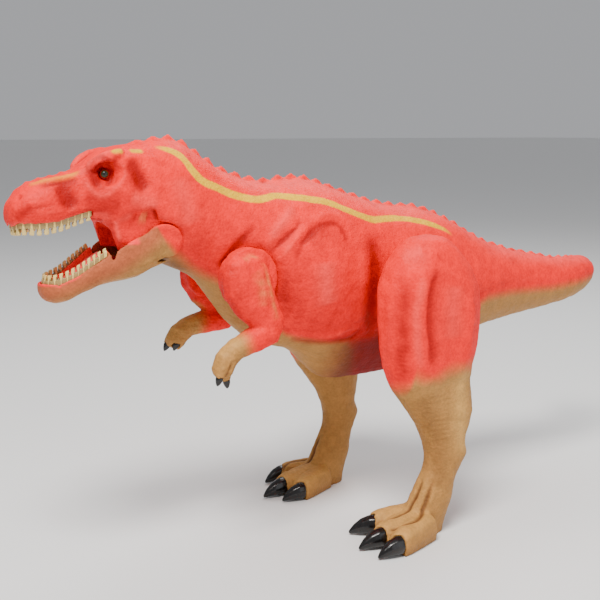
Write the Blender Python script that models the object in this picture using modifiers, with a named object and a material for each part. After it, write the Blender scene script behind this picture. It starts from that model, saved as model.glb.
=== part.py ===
# Toy dinosaur figure: a hollow soft-vinyl body with a hinged lower jaw and swivelling arms and legs.
# Metres. The figure stands on its soles at z = 0, faces -Y, and its left side is +X.
# Outlines are shares of the sizes below. A share along the body runs from the snout (0) to the tail (1).

from collections import namedtuple
from math import cos, exp, pi, radians, sin

import bmesh
import bpy
from mathutils import Matrix, Vector

# Overall sizes of the body
FIGURE_LENGTH = 0.314
BODY_DEPTH = 0.104
BODY_WIDTH = 0.052
HIP_HEIGHT = 0.103
SKIN_WALL = 0.0026
HOLLOW_INSET = 0.0031

# Clearances and overruns
FIT_GAP = 0.00035
SWING_GAP = 0.0006
CUT_OVERRUN = 0.003
PIECE_BITE = 0.0015
FLOOR_CUT = 0.002

# Tail bend, towards the figure's right
TAIL_BEND_RADIUS = 0.052
TAIL_BEND_DEGREES = 66
TAIL_BEND_STEPS = 7

# Back crest
CREST_POINTS = 44
CREST_HEIGHT = 0.0026
CREST_WIDTH = 0.0030
CREST_ROOT = 0.0030
CREST_LINE_STEPS = 80

# Lower jaw hinge
JAW_HINGE_RADIUS = 0.0074
JAW_KNUCKLE_RADIUS = 0.0064
JAW_EAR_SPACING = 0.0236
JAW_PIN_RADIUS = 0.0015
JAW_PIN_SKIN = 0.0010
THROAT_DROP = 0.0078
JAW_REAR_DEGREES = -64.5
JAW_ROOM_DEGREES = -60
JAW_MIDDLE_DEGREES = -66.5
JAW_ROOM_FROM_DEGREES = 200
JAW_MIDDLE_FROM_DEGREES = 228
JAW_REAR_TOP_DEGREES = 110
EAR_FROM_DEGREES = -80
EAR_TOP_DEGREES = 90

# Teeth
UPPER_TEETH = 24
UPPER_TOOTH_HEIGHT = 0.0024
LOWER_TEETH = 24
LOWER_TOOTH_HEIGHT = 0.0022
TOOTH_THICKNESS = 0.0016
GUM_RAIL_WIDTH = 0.0019
GUM_RAIL_HEIGHT = 0.0020
LIP_WIDTH = 0.0012
UPPER_MOUTH_DEPTH = 0.0030
LOWER_MOUTH_DEPTH = 0.0034
MOUTH_WALL = LIP_WIDTH + GUM_RAIL_WIDTH + LIP_WIDTH
RIM_SIDE_STEPS = 40
RIM_FRONT_STEPS = 20

# Tongue
TONGUE_LENGTH = 0.0165
TONGUE_WIDTH = 0.0064
TONGUE_THICKNESS = 0.0018

# Eyes, their sockets and the brows
EYE_RADIUS = 0.0020
EYE_SINK = 0.0016
BROW_LENGTH = 0.0164
BROW_WIDTH = 0.0067
BROW_HEIGHT = 0.0048
BROW_PITCH_DEGREES = 30
ORBIT_LENGTH = 0.0125
ORBIT_HEIGHT = 0.0092
ORBIT_WIDTH = 0.0080
ORBIT_DEPTH = 0.0014
ORBIT_PITCH_DEGREES = 30
NOSTRIL_RADIUS = 0.0012

# Legs
THIGH_LENGTH = 0.049
LEG_WIDTH = 0.0295
HIP_DISC_RADIUS = 0.0140
HIP_SEAT_RADIUS = 0.0146
HIP_SEAT_DEPTH = 0.0010
LEG_SET_OUT = 0.0014
HIP_NECK_RADIUS = 0.0050
HIP_FLANGE_RADIUS = 0.0085
HIP_FLANGE_WIDTH = 0.0022
HIP_PEG_LENGTH = 0.0080
PLUG_CHAMFER = 0.0006

# Feet
TOE_HEIGHT = 0.0118
TOE_WIDTH = 0.0115
TOE_CLAW_LENGTH = 0.0112
TOE_CLAW_WIDTH = 0.0066
TOE_CLAW_HEIGHT = 0.0080
CLAW_LIFT = 0.0006

# Arms
ARM_REACH = 0.0215
ARM_WIDTH = 0.0125
ARM_SET_OUT = 0.0054
SHOULDER_DISC_RADIUS = 0.0121
SHOULDER_SEAT_RADIUS = 0.0128
SHOULDER_NECK_RADIUS = 0.0036
SHOULDER_FLANGE_RADIUS = 0.0060
SHOULDER_FLANGE_WIDTH = 0.0018
SHOULDER_PEG_LENGTH = 0.0060
SHOULDER_WALL_REACH = 0.0180
RIGHT_ELBOW_LIFT_DEGREES = 12
FINGER_WIDTH = 0.0046
FINGER_CLAW_LENGTH = 0.0037
FINGER_CLAW_WIDTH = 0.0030

# How finely the forms are faceted
BODY_SIDES = 24
HOLLOW_SIDES = 12
LIMB_SIDES = 14
ARM_SIDES = 12
TOE_SIDES = 10
CLAW_SIDES = 8
DISC_SIDES = 24
PEG_SIDES = 12
PIN_SIDES = 10
ARC_STEPS = 12
MERGE_DISTANCE = 0.00001
# Squareness of the sections: 2 is an ellipse, and more is squarer
MOUTH_POWER = 3.2
GUM_POWER = 5
CHIN_POWER = 2.3
TOE_POWER = 2.4
CLAW_POWER = 2
ARM_POWER = 2.1

Station = namedtuple("Station", "along top bottom half widest upper_power lower_power")
Push = namedtuple("Push", "along level along_reach level_reach depth")

# Places along the body and above the hips: shares of FIGURE_LENGTH and BODY_DEPTH.
BODY_START_SHARE = 0.5
HEAD_END_SHARE = 0.21
HEAD_RING_SHARE = 0.009
TRUNK_RING_SHARE = 0.024
JAW_HINGE_ALONG_SHARE = 0.172
JAW_HINGE_LEVEL_SHARE = 0.216
HIP_ALONG_SHARE = 0.513
SHOULDER_ALONG_SHARE = 0.280
SHOULDER_LEVEL_SHARE = 0.071
SHOULDER_SEAT_SHARE = 0.49
EYE_ALONG_SHARE = 0.107
EYE_LEVEL_SHARE = 0.463
BROW_ALONG_SHARE = 0.1085
BROW_LEVEL_SHARE = 0.511
BROW_SIDE_SHARE = 0.322
NOSTRIL_ALONG_SHARE = 0.010
NOSTRIL_LEVEL_SHARE = 0.392

HOLLOW_FROM_SHARE = 0.215
HOLLOW_TO_SHARE = 0.765

# Each row: along, top, bottom, half width, level of the widest place, then the squareness of the
# upper and lower halves. Half widths are shares of half of BODY_WIDTH.
BODY_STATION_SHARES = [
    Station(0.000, 0.352, 0.302, 0.138, 0.336, 2.0, 2.2),
    Station(0.003, 0.376, 0.288, 0.238, 0.340, 2.1, 2.6),
    Station(0.013, 0.417, 0.281, 0.319, 0.341, 2.2, 3.2),
    Station(0.029, 0.441, 0.277, 0.358, 0.341, 2.3, 3.6),
    Station(0.051, 0.457, 0.284, 0.373, 0.351, 2.3, 3.6),
    Station(0.073, 0.473, 0.298, 0.369, 0.375, 2.4, 3.4),
    Station(0.089, 0.496, 0.306, 0.392, 0.394, 2.8, 3.2),
    Station(0.102, 0.524, 0.300, 0.435, 0.413, 3.1, 3.2),
    Station(0.109, 0.537, 0.285, 0.460, 0.413, 3.1, 3.1),
    Station(0.114, 0.545, 0.240, 0.478, 0.410, 3.0, 3.0),
    Station(0.119, 0.550, 0.180, 0.490, 0.405, 2.9, 3.0),
    Station(0.134, 0.562, 0.155, 0.527, 0.394, 2.7, 3.0),
    Station(0.150, 0.566, 0.145, 0.554, 0.375, 2.4, 2.8),
    Station(0.166, 0.572, 0.138, 0.565, 0.356, 2.2, 2.6),
    Station(0.182, 0.578, 0.130, 0.569, 0.346, 2.1, 2.4),
    Station(0.197, 0.578, 0.118, 0.581, 0.337, 2.1, 2.3),
    Station(0.217, 0.556, 0.090, 0.605, 0.317, 2.1, 2.1),
    Station(0.236, 0.519, 0.055, 0.575, 0.285, 2.1, 1.95),
    Station(0.255, 0.481, -0.026, 0.575, 0.240, 2.1, 1.85),
    Station(0.277, 0.448, -0.120, 0.625, 0.195, 2.1, 1.8),
    Station(0.303, 0.424, -0.186, 0.710, 0.160, 2.2, 1.85),
    Station(0.331, 0.412, -0.226, 0.820, 0.120, 2.2, 1.95),
    Station(0.363, 0.424, -0.240, 0.920, 0.095, 2.2, 2.1),
    Station(0.388, 0.421, -0.300, 0.968, 0.082, 2.2, 1.9),
    Station(0.404, 0.410, -0.362, 0.970, 0.075, 2.2, 1.65),
    Station(0.420, 0.395, -0.394, 0.958, 0.069, 2.2, 1.5),
    Station(0.445, 0.370, -0.404, 0.915, 0.062, 2.2, 1.45),
    Station(0.490, 0.326, -0.404, 0.832, 0.048, 2.2, 1.45),
    Station(0.532, 0.300, -0.398, 0.815, 0.029, 2.2, 1.5),
    Station(0.570, 0.292, -0.350, 0.788, 0.019, 2.2, 1.7),
    Station(0.605, 0.264, -0.300, 0.746, 0.000, 2.2, 1.9),
    Station(0.637, 0.224, -0.280, 0.692, -0.019, 2.1, 2.0),
    Station(0.669, 0.176, -0.262, 0.631, -0.043, 2.1, 2.0),
    Station(0.707, 0.122, -0.244, 0.569, -0.058, 2.1, 2.0),
    Station(0.752, 0.080, -0.225, 0.500, -0.067, 2.1, 2.0),
    Station(0.799, 0.050, -0.210, 0.435, -0.076, 2.1, 2.0),
    Station(0.847, 0.022, -0.194, 0.380, -0.084, 2.0, 2.0),
]
# The bent end of the tail, from its start to its tip: bend done, top, bottom, half width.
TAIL_END_SHARES = [
    (0.00, 0.022, -0.194, 0.380),
    (0.35, 0.012, -0.166, 0.345),
    (0.65, -0.002, -0.132, 0.300),
    (0.85, -0.018, -0.106, 0.265),
    (0.96, -0.031, -0.090, 0.195),
    (1.00, -0.044, -0.078, 0.095),
]

# Crest: where it starts and ends, how deep the notches are, and its height along the back.
CREST_FROM_SHARE = 0.148
CREST_TAIL_SHARE = 0.92
CREST_VALLEY_SHARE = 0.25
CREST_RISE_SHARE = 0.08
CREST_START_SHARE = 0.45
CREST_END_SHARES = (1.15, 0.55)

# Flank relief, the same on both sides: along, level, reach along, reach up, depth (shares of the
# body's length, depth, length, depth and half width). A negative depth is a hollow.
FLANK_PUSH_SHARES = [
    Push(0.106, 0.455, 0.011, 0.048, -0.085),
    Push(0.075, 0.420, 0.016, 0.035, -0.060),
    Push(0.150, 0.450, 0.010, 0.070, -0.070),
    Push(0.125, 0.400, 0.014, 0.050, 0.040),
    Push(0.190, 0.250, 0.020, 0.120, 0.060),
    Push(0.320, 0.190, 0.012, 0.150, -0.060),
    Push(0.378, 0.130, 0.036, 0.130, 0.060),
    Push(0.430, 0.120, 0.010, 0.150, -0.070),
    Push(0.326, -0.030, 0.028, 0.085, -0.125),
    Push(0.340, -0.150, 0.060, 0.040, -0.040),
    Push(0.700, 0.000, 0.060, 0.080, 0.050),
]

# Lower jaw at rest, open: along, gum line, underside, half width.
JAW_STATION_SHARES = [
    (0.0340, 0.086, 0.060, 0.080),
    (0.0360, 0.092, 0.042, 0.150),
    (0.0410, 0.098, 0.027, 0.225),
    (0.0500, 0.103, 0.017, 0.285),
    (0.0640, 0.118, 0.022, 0.335),
    (0.0800, 0.148, 0.046, 0.385),
    (0.1000, 0.190, 0.068, 0.445),
    (0.1180, 0.222, 0.078, 0.500),
    (0.1340, 0.245, 0.083, 0.535),
    (0.1500, 0.264, 0.092, 0.556),
    (0.1620, 0.279, 0.110, 0.563),
    (0.1760, 0.284, 0.126, 0.567),
    (0.1920, 0.264, 0.140, 0.570),
]
JAW_WIDEST_SHARE = 0.6
EAR_OUT_SHARE = 0.535
# Where the mouth ends, the ends of the rows of teeth, and where the lower jaw's floor steps down.
MOUTH_CORNER_SHARE = 0.116
UPPER_RIM_SHARES = (0.090, 0.018)
LOWER_RIM_SHARES = (0.105, 0.056)
FLOOR_STEP_SHARE = 0.110
MOUTH_ROOM_SHARES = (0.022, 0.045, 0.070, 0.092, 0.106)
LOWER_ROOM_SHARES = (0.050, 0.062, 0.080, 0.100, 0.114)
# Crowns: rise, width and thickness at the root and the tip, and the heights from the rear inwards.
TOOTH_WIDTH_SHARE = 0.80
TOOTH_RING_SHARES = ((-0.22, 1.0, 1.0), (1.0, 0.74, 0.60))
TOOTH_SIZE_SHARES = (0.62, 0.95, 1.0, 0.98)
# Tongue, from its root to its tip: length done, width, thickness.
TONGUE_REAR_SHARE = 0.1075
TONGUE_RING_SHARES = (
    (0.0, 0.78, 0.8),
    (0.25, 1.0, 1.0),
    (0.6, 0.95, 1.0),
    (0.85, 0.72, 0.85),
    (1.0, 0.3, 0.5),
)
# Throat between the cheeks: along, half width, roof, floor.
THROAT_SHARES = [
    (0.104, 0.26, 0.290, 0.120),
    (0.118, 0.30, 0.300, 0.120),
    (0.130, 0.27, 0.285, 0.130),
    (0.138, 0.18, 0.255, 0.160),
]
# The hollow in the cheek above the hinge, as places behind and above it (of JAW_HINGE_RADIUS).
CHEEK_EDGE_SHARES = [(-0.30, 1.25), (-0.48, 1.62), (-0.78, 1.76), (-1.20, 1.62)]
CHEEK_FRONT_SHARE = 1.15
KNUCKLE_STEP_SHARE = 1 / 3
CHEEK_FROM_SHARE = 0.125
CHEEK_TO_SHARE = 0.225

# Leg, from the top of the thigh to below the sole: height (of HIP_HEIGHT), front and rear
# (of THIGH_LENGTH from the hip axis), inner and outer (of LEG_WIDTH), squareness.
LEG_STATION_SHARES = [
    (1.214, -0.10, 0.06, 0.35, 0.62, 2.0),
    (1.199, -0.22, 0.16, 0.20, 0.76, 2.0),
    (1.155, -0.33, 0.25, 0.10, 0.88, 2.1),
    (1.087, -0.43, 0.38, 0.03, 0.95, 2.2),
    (1.010, -0.485, 0.460, 0.00, 0.98, 2.3),
    (0.932, -0.49, 0.485, 0.00, 1.00, 2.3),
    (0.854, -0.48, 0.475, 0.01, 1.00, 2.3),
    (0.777, -0.47, 0.455, 0.04, 0.99, 2.3),
    (0.699, -0.455, 0.415, 0.10, 0.96, 2.2),
    (0.631, -0.41, 0.370, 0.18, 0.92, 2.2),
    (0.573, -0.330, 0.385, 0.25, 0.88, 2.1),
    (0.515, -0.235, 0.392, 0.28, 0.86, 2.1),
    (0.447, -0.130, 0.370, 0.30, 0.83, 2.1),
    (0.379, -0.06, 0.325, 0.32, 0.79, 2.1),
    (0.320, -0.03, 0.370, 0.33, 0.79, 2.1),
    (0.262, -0.04, 0.295, 0.33, 0.78, 2.1),
    (0.204, -0.105, 0.245, 0.31, 0.78, 2.2),
    (0.146, -0.165, 0.225, 0.29, 0.80, 2.3),
    (0.087, -0.25, 0.190, 0.30, 0.78, 2.1),
    (0.029, -0.26, 0.165, 0.33, 0.73, 2.0),
    (-0.010, -0.26, 0.155, 0.34, 0.72, 2.0),
]
CALF_HEIGHT_SHARE = 0.47
CALF_REACH_SHARE = 0.17
CALF_OUT_SHARE = 0.11
# Thigh relief on the outer side: height, place fore and aft, reaches, depth (shares of HIP_HEIGHT,
# THIGH_LENGTH, the same two, and LEG_WIDTH).
THIGH_PUSH_SHARES = [
    Push(1.00, -0.20, 0.17, 0.09, 0.05),
    Push(0.90, 0.02, 0.22, 0.06, -0.06),
    Push(0.88, 0.24, 0.20, 0.11, 0.04),
    Push(0.62, 0.10, 0.05, 0.20, -0.03),
    Push(0.32, 0.20, 0.05, 0.16, 0.04),
]
# Toes, inner to outer: root and end across (of LEG_WIDTH), root and end forward of the hip axis
# (of THIGH_LENGTH), length and height beside the middle toe's. The two feet are moulded unlike.
TOE_SHARES = {
    "left": {
        "inner": (0.40, 0.22, -0.12, -0.475, 1.03),
        "middle": (0.58, 0.68, -0.14, -0.595, 1.00),
        "outer": (0.74, 1.04, -0.10, -0.575, 0.98),
    },
    "right": {
        "inner": (0.38, 0.04, -0.12, -0.535, 0.96),
        "middle": (0.54, 0.37, -0.14, -0.620, 1.00),
        "outer": (0.74, 0.95, -0.10, -0.410, 0.94),
    },
}
TOE_CLAW_INWARD_DEGREES = {
    "left": {"inner": 32, "middle": 10, "outer": 4},
    "right": {"inner": -8, "middle": 0, "outer": 0},
}
# Toes and their claws, from root to end: length done, width, height.
TOE_RING_SHARES = (
    (0.0, 1.0, 1.0),
    (0.4, 1.0, 0.95),
    (0.75, 0.95, 0.88),
    (0.93, 0.80, 0.76),
    (1.0, 0.50, 0.52),
)
CLAW_RING_SHARES = (
    (0.0, 1.0, 1.0),
    (0.25, 1.0, 0.98),
    (0.55, 0.80, 0.80),
    (0.8, 0.50, 0.50),
    (1.0, 0.14, 0.14),
)

# Upper arm and forearm: backward and up from the shoulder axis (of ARM_REACH), then half the
# thickness across and in the arm's own plane (of ARM_WIDTH).
UPPER_ARM_SHARES = [
    (-0.14, 0.44, 0.12, 0.26),
    (-0.14, 0.33, 0.31, 0.60),
    (-0.12, 0.14, 0.41, 0.80),
    (-0.09, -0.12, 0.43, 0.86),
    (0.05, -0.40, 0.41, 0.77),
    (0.23, -0.65, 0.37, 0.62),
    (0.40, -0.88, 0.34, 0.50),
    (0.48, -1.08, 0.19, 0.28),
]
FOREARM_SHARES = [
    (0.52, -0.86, 0.20, 0.22),
    (0.38, -0.98, 0.40, 0.43),
    (0.13, -1.07, 0.43, 0.42),
    (-0.15, -1.17, 0.39, 0.37),
    (-0.38, -1.26, 0.36, 0.34),
    (-0.54, -1.41, 0.35, 0.36),
    (-0.62, -1.60, 0.31, 0.34),
    (-0.64, -1.71, 0.20, 0.24),
]
ELBOW_SHARES = (0.45, -0.98)
# Fingers: root and end, backward and up from the shoulder axis (of ARM_REACH), and how far to
# the side of the arm's own plane (of ARM_WIDTH).
FINGER_SHARES = {
    "left": {
        "front": (-0.65, -1.52, -0.73, -1.75, 0.15),
        "rear": (-0.52, -1.57, -0.48, -1.86, -0.15),
    },
    "right": {
        "front": (-0.65, -1.50, -0.72, -1.70, 0.15),
        "rear": (-0.59, -1.47, -0.63, -1.65, -0.18),
    },
}
# Fingers and their claws, from root to end: length done, width.
FINGER_ROW_SHARES = ((0.0, 1.0), (0.7, 0.95), (0.95, 0.75), (1.05, 0.45))
FINGER_CLAW_SHARES = ((0.0, 1.0), (0.35, 0.95), (0.7, 0.62), (1.0, 0.16))

COLOURS = {
    "skin_red": ((0.82, 0.115, 0.075), 0.48),
    "skin_tan": ((0.68, 0.38, 0.17), 0.52),
    "mouth": ((0.55, 0.06, 0.06), 0.40),
    "teeth": ((0.86, 0.74, 0.48), 0.35),
    "claw": ((0.012, 0.011, 0.010), 0.16),
    "eye": ((0.10, 0.13, 0.03), 0.20),
    "plug": ((0.30, 0.30, 0.31), 0.55),
    "pin": ((0.45, 0.45, 0.46), 0.35),
}


def clear_scene():
    for old in list(bpy.data.objects):
        bpy.data.objects.remove(old, do_unlink=True)


def new_collection(name):
    made = bpy.data.collections.new(name)
    bpy.context.scene.collection.children.link(made)
    return made


clear_scene()
PARTS = new_collection("toy_dinosaur")
CUTTERS = new_collection("cutters")


def along(share):
    return FIGURE_LENGTH * (share - BODY_START_SHARE)


def level(share):
    return HIP_HEIGHT + BODY_DEPTH * share


def half(share):
    return BODY_WIDTH / 2 * share


def make_material(name, colour_name):
    colour, roughness = COLOURS[colour_name]
    material = bpy.data.materials.new(name)
    material.use_nodes = True
    material.diffuse_color = (*colour, 1.0)
    shader = material.node_tree.nodes["Principled BSDF"]
    shader.inputs["Base Color"].default_value = (*colour, 1.0)
    shader.inputs["Roughness"].default_value = roughness
    shader.inputs["Metallic"].default_value = 0.0
    return material


def object_from(name, shape, collection):
    bmesh.ops.recalc_face_normals(shape, faces=shape.faces)
    mesh = bpy.data.meshes.new(name)
    shape.to_mesh(mesh)
    shape.free()
    made = bpy.data.objects.new(name, mesh)
    collection.objects.link(made)
    return made


def part(name, shape, colour_name):
    made = object_from(name, shape, PARTS)
    made.data.materials.append(make_material(name + "_finish", colour_name))
    return made


def cutter(name, shape):
    made = object_from(name, shape, CUTTERS)
    made.hide_render = True
    made.display_type = "WIRE"
    return made


def boolean(target, other, operation, crossing=False):
    step = target.modifiers.new(operation.lower() + "_" + other.name, "BOOLEAN")
    step.operation = operation
    step.object = other
    step.solver = "EXACT"
    step.use_self = crossing


def triangulate(made):
    """Flat faces for the next Boolean step."""
    made.modifiers.new("flat_faces", "TRIANGULATE")


def finish_shading(made, degrees=40):
    made.data.shade_smooth()
    made.data.set_sharp_from_angle(angle=radians(degrees))


def ride_on(pivot, *pieces):
    """Keeps each piece where it is and gives it the pivot as its parent and its origin."""
    for piece in pieces:
        piece.data.transform(Matrix.Translation(-pivot.location))
        piece.parent = pivot


def joint_empty(name, place):
    pivot = bpy.data.objects.new(name, None)
    pivot.location = place
    PARTS.objects.link(pivot)
    return pivot


def squared(angle, power):
    """A point on a unit superellipse."""
    across = abs(cos(angle)) ** (2 / power) * (1 if cos(angle) >= 0 else -1)
    up = abs(sin(angle)) ** (2 / power) * (1 if sin(angle) >= 0 else -1)
    return across, up


def add_loft(shape, rings):
    """Skins closed rings of equal counts, with a flat cap on each end."""
    rows = [[shape.verts.new(point) for point in ring] for ring in rings]
    sides = len(rows[0])
    for first, second in zip(rows, rows[1:]):
        for corner in range(sides):
            after = (corner + 1) % sides
            shape.faces.new((first[corner], first[after], second[after], second[corner]))
    shape.faces.new(rows[0])
    shape.faces.new(list(reversed(rows[-1])))


def loft(rings):
    shape = bmesh.new()
    add_loft(shape, rings)
    return shape


def smooth_row(rows, place):
    """Reads a table at any place along its first column, on a smooth curve through its rows."""
    places = [row[0] for row in rows]
    place = min(max(place, places[0]), places[-1])
    index = max(i for i in range(len(rows) - 1) if places[i] <= place)
    low, high = rows[index], rows[index + 1]
    before = rows[max(index - 1, 0)]
    after = rows[min(index + 2, len(rows) - 1)]
    span = high[0] - low[0]
    t = (place - low[0]) / span
    blend = (2 * t**3 - 3 * t**2 + 1, t**3 - 2 * t**2 + t, 3 * t**2 - 2 * t**3, t**3 - t**2)
    found = []
    for a, b, c, d in zip(before, low, high, after):
        slope_low = (c - a) / (high[0] - before[0]) * span
        slope_high = (d - b) / (after[0] - low[0]) * span
        found.append(blend[0] * b + blend[1] * slope_low + blend[2] * c + blend[3] * slope_high)
    return found


def body_station(share):
    return Station(*smooth_row(BODY_STATION_SHARES, share))


def bell(distance_share, reach_share):
    return exp(-((distance_share / reach_share) ** 2))


def flank_relief(share, level_share):
    total = 0
    for push in FLANK_PUSH_SHARES:
        near = bell(share - push.along, push.along_reach)
        total += push.depth * near * bell(level_share - push.level, push.level_reach)
    return half(total)


def tail_place(done_share):
    """Centre and heading of the bent end of the tail."""
    turn = radians(TAIL_BEND_DEGREES) * done_share
    start = along(BODY_STATION_SHARES[-1].along)
    x = -TAIL_BEND_RADIUS * (1 - cos(turn))
    return x, start + TAIL_BEND_RADIUS * sin(turn), turn


def spread_places():
    """Where the rings of the body stand: close on the head, wider apart on the trunk and tail."""
    places = []
    for low, high in zip(BODY_STATION_SHARES, BODY_STATION_SHARES[1:]):
        wanted = HEAD_RING_SHARE if low.along < HEAD_END_SHARE else TRUNK_RING_SHARE
        steps = max(1, round((high.along - low.along) / wanted))
        places += [low.along + (high.along - low.along) * step / steps for step in range(steps)]
    return places + [BODY_STATION_SHARES[-1].along]


def section(station, sides, inset=0):
    """One upright ring of the body, drawn in by an inset where it bounds the hollow."""
    ring = []
    middle = level(station.widest)
    top = level(station.top) - inset
    bottom = level(station.bottom) + inset
    wide = half(station.half) - inset
    for corner in range(sides):
        angle = 2 * pi * corner / sides
        across, up = squared(angle, station.upper_power if sin(angle) >= 0 else station.lower_power)
        x = wide * across
        z = middle + up * ((top - middle) if up >= 0 else (middle - bottom))
        if not inset:
            level_share = (z - HIP_HEIGHT) / BODY_DEPTH
            x += flank_relief(station.along, level_share) * across
        ring.append(Vector((x, along(station.along), z)))
    return ring


def body_rings():
    rings = [section(body_station(share), BODY_SIDES) for share in spread_places()]
    ends = [place / TAIL_BEND_STEPS for place in range(1, TAIL_BEND_STEPS + 1)]
    ends.insert(-1, (ends[-2] + ends[-1]) / 2)
    for done in ends:
        _, top, bottom, wide = smooth_row(TAIL_END_SHARES, done)
        x, y, turn = tail_place(done)
        middle = (level(top) + level(bottom)) / 2
        tall = BODY_DEPTH * (top - bottom) / 2
        ring = []
        for corner in range(BODY_SIDES):
            angle = 2 * pi * corner / BODY_SIDES
            side = half(wide) * cos(angle)
            ring.append(Vector((x + side * cos(turn), y + side * sin(turn), middle + tall * sin(angle))))
        rings.append(ring)
    return rings


def body_side(share, level_share):
    """How far out the skin lies at a place on the flank."""
    station = body_station(share)
    upper = level_share >= station.widest
    power = station.upper_power if upper else station.lower_power
    reach = (station.top if upper else station.bottom) - station.widest
    across = (1 - min((level_share - station.widest) / reach, 1) ** power) ** (1 / power)
    return (half(station.half) + flank_relief(share, level_share)) * across


def hollow_rings():
    """The hollow, narrower between the shoulders so that their seats keep a wall behind them."""
    wall = SHOULDER_SEAT - SKIN_WALL - SWING_GAP
    rings = []
    for station in BODY_STATION_SHARES:
        if not HOLLOW_FROM_SHARE <= station.along <= HOLLOW_TO_SHARE:
            continue
        ring = section(station, HOLLOW_SIDES, HOLLOW_INSET)
        if abs(along(station.along) - SHOULDER[0]) < SHOULDER_WALL_REACH:
            ring = [Vector((max(-wall, min(wall, point.x)), point.y, point.z)) for point in ring]
        rings.append(ring)
    return rings


def add_rod(shape, start, end, radius, sides):
    """A round rod between two points."""
    start, end = Vector(start), Vector(end)
    run = end - start
    turn = run.to_track_quat("Z", "Y").to_matrix().to_4x4()
    place = Matrix.Translation((start + end) / 2) @ turn
    bmesh.ops.create_cone(
        shape,
        cap_ends=True,
        segments=sides,
        radius1=radius,
        radius2=radius,
        depth=run.length,
        matrix=place,
    )


def rods(ends, radius, sides):
    shape = bmesh.new()
    for start, end in ends:
        add_rod(shape, start, end, radius, sides)
    return shape


def plate(outline, low, high):
    """An outline in the YZ plane, given as (y, z), carried across from x = low to x = high."""
    return loft([[Vector((x, y, z)) for y, z in outline] for x in (low, high)])


def arc(centre, radius, first_degrees, last_degrees, steps):
    """Points (y, z) on an arc about a centre, also (y, z)."""
    points = []
    for step in range(steps + 1):
        angle = radians(first_degrees + (last_degrees - first_degrees) * step / steps)
        points.append((centre[0] + radius * cos(angle), centre[1] + radius * sin(angle)))
    return points


def on_both_sides(inner, outer, place):
    """The ends of two rods, left and right, on a cross axis at a place (y, z)."""
    return [((side * inner, *place), (side * outer, *place)) for side in (1, -1)]


def across_x(reach, place):
    return [((-reach, *place), (reach, *place))]


HINGE = (along(JAW_HINGE_ALONG_SHARE), level(JAW_HINGE_LEVEL_SHARE))
HIP = (along(HIP_ALONG_SHARE), level(0))
SHOULDER = (along(SHOULDER_ALONG_SHARE), level(SHOULDER_LEVEL_SHARE))
HIP_SEAT = body_side(HIP_ALONG_SHARE, 0) - HIP_SEAT_DEPTH
SHOULDER_SEAT = half(SHOULDER_SEAT_SHARE)
LEG_IN = HIP_SEAT + FIT_GAP + LEG_SET_OUT
ARM_MIDDLE = SHOULDER_SEAT + FIT_GAP + ARM_SET_OUT
EAR_IN = JAW_EAR_SPACING / 2


def resampled(points, count):
    """Points spaced evenly along a polyline."""
    lengths = [0]
    for first, second in zip(points, points[1:]):
        lengths.append(lengths[-1] + (second - first).length)
    found = []
    index = 0
    for step in range(count):
        wanted = lengths[-1] * step / (count - 1)
        while index < len(points) - 2 and lengths[index + 1] < wanted:
            index += 1
        span = lengths[index + 1] - lengths[index]
        found.append(points[index].lerp(points[index + 1], (wanted - lengths[index]) / span))
    return found


def heading(points, index):
    """The direction of a polyline at one of its points."""
    return (points[min(index + 1, len(points) - 1)] - points[max(index - 1, 0)]).normalized()


def crest_line():
    """The middle line of the back, from the nape to near the end of the tail."""
    points = []
    last = BODY_STATION_SHARES[-1].along
    for step in range(CREST_LINE_STEPS):
        share = CREST_FROM_SHARE + (last - CREST_FROM_SHARE) * step / CREST_LINE_STEPS
        points.append(Vector((0, along(share), level(body_station(share).top))))
    for step in range(TAIL_BEND_STEPS + 1):
        done = CREST_TAIL_SHARE * step / TAIL_BEND_STEPS
        x, y, _ = tail_place(done)
        points.append(Vector((x, y, level(smooth_row(TAIL_END_SHARES, done)[1]))))
    return resampled(points, 2 * CREST_POINTS + 1)


def crest_rings():
    line = crest_line()
    rings = []
    for index, point in enumerate(line):
        ahead = heading(line, index)
        across = Vector((ahead.y, -ahead.x, 0)).normalized() * CREST_WIDTH / 2
        done = index / (len(line) - 1)
        size = CREST_END_SHARES[0] + (CREST_END_SHARES[1] - CREST_END_SHARES[0]) * done
        size *= min(1, CREST_START_SHARE + (1 - CREST_START_SHARE) * done / CREST_RISE_SHARE)
        peak = CREST_HEIGHT * size * (1 if index % 2 else CREST_VALLEY_SHARE)
        root = Vector((0, 0, -CREST_ROOT * size))
        top = Vector((0, 0, peak))
        rings.append([point + root - across, point + root + across, point + top])
    return rings


def ovals(places, width, length, height, pitch_degrees):
    """Egg shapes, tilted as seen from the side."""
    shape = bmesh.new()
    pitch = Matrix.Rotation(radians(pitch_degrees), 4, "X")
    size = Matrix.Diagonal((width / 2, length / 2, height / 2, 1))
    for place in places:
        bmesh.ops.create_uvsphere(
            shape,
            u_segments=PEG_SIDES,
            v_segments=CLAW_SIDES,
            radius=1,
            matrix=Matrix.Translation(place) @ pitch @ size,
        )
    return shape


def brows():
    out = half(BROW_SIDE_SHARE)
    place = (along(BROW_ALONG_SHARE), level(BROW_LEVEL_SHARE))
    places = [Vector((side * out, *place)) for side in (1, -1)]
    return ovals(places, BROW_WIDTH, BROW_LENGTH, BROW_HEIGHT, BROW_PITCH_DEGREES)


def orbits():
    """The shallow sockets that the eyes sit in, under the brows."""
    out = body_side(EYE_ALONG_SHARE, EYE_LEVEL_SHARE) + ORBIT_WIDTH / 2 - ORBIT_DEPTH
    place = (along(EYE_ALONG_SHARE), level(EYE_LEVEL_SHARE))
    places = [Vector((side * out, *place)) for side in (1, -1)]
    return ovals(places, ORBIT_WIDTH, ORBIT_LENGTH, ORBIT_HEIGHT, ORBIT_PITCH_DEGREES)


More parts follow.
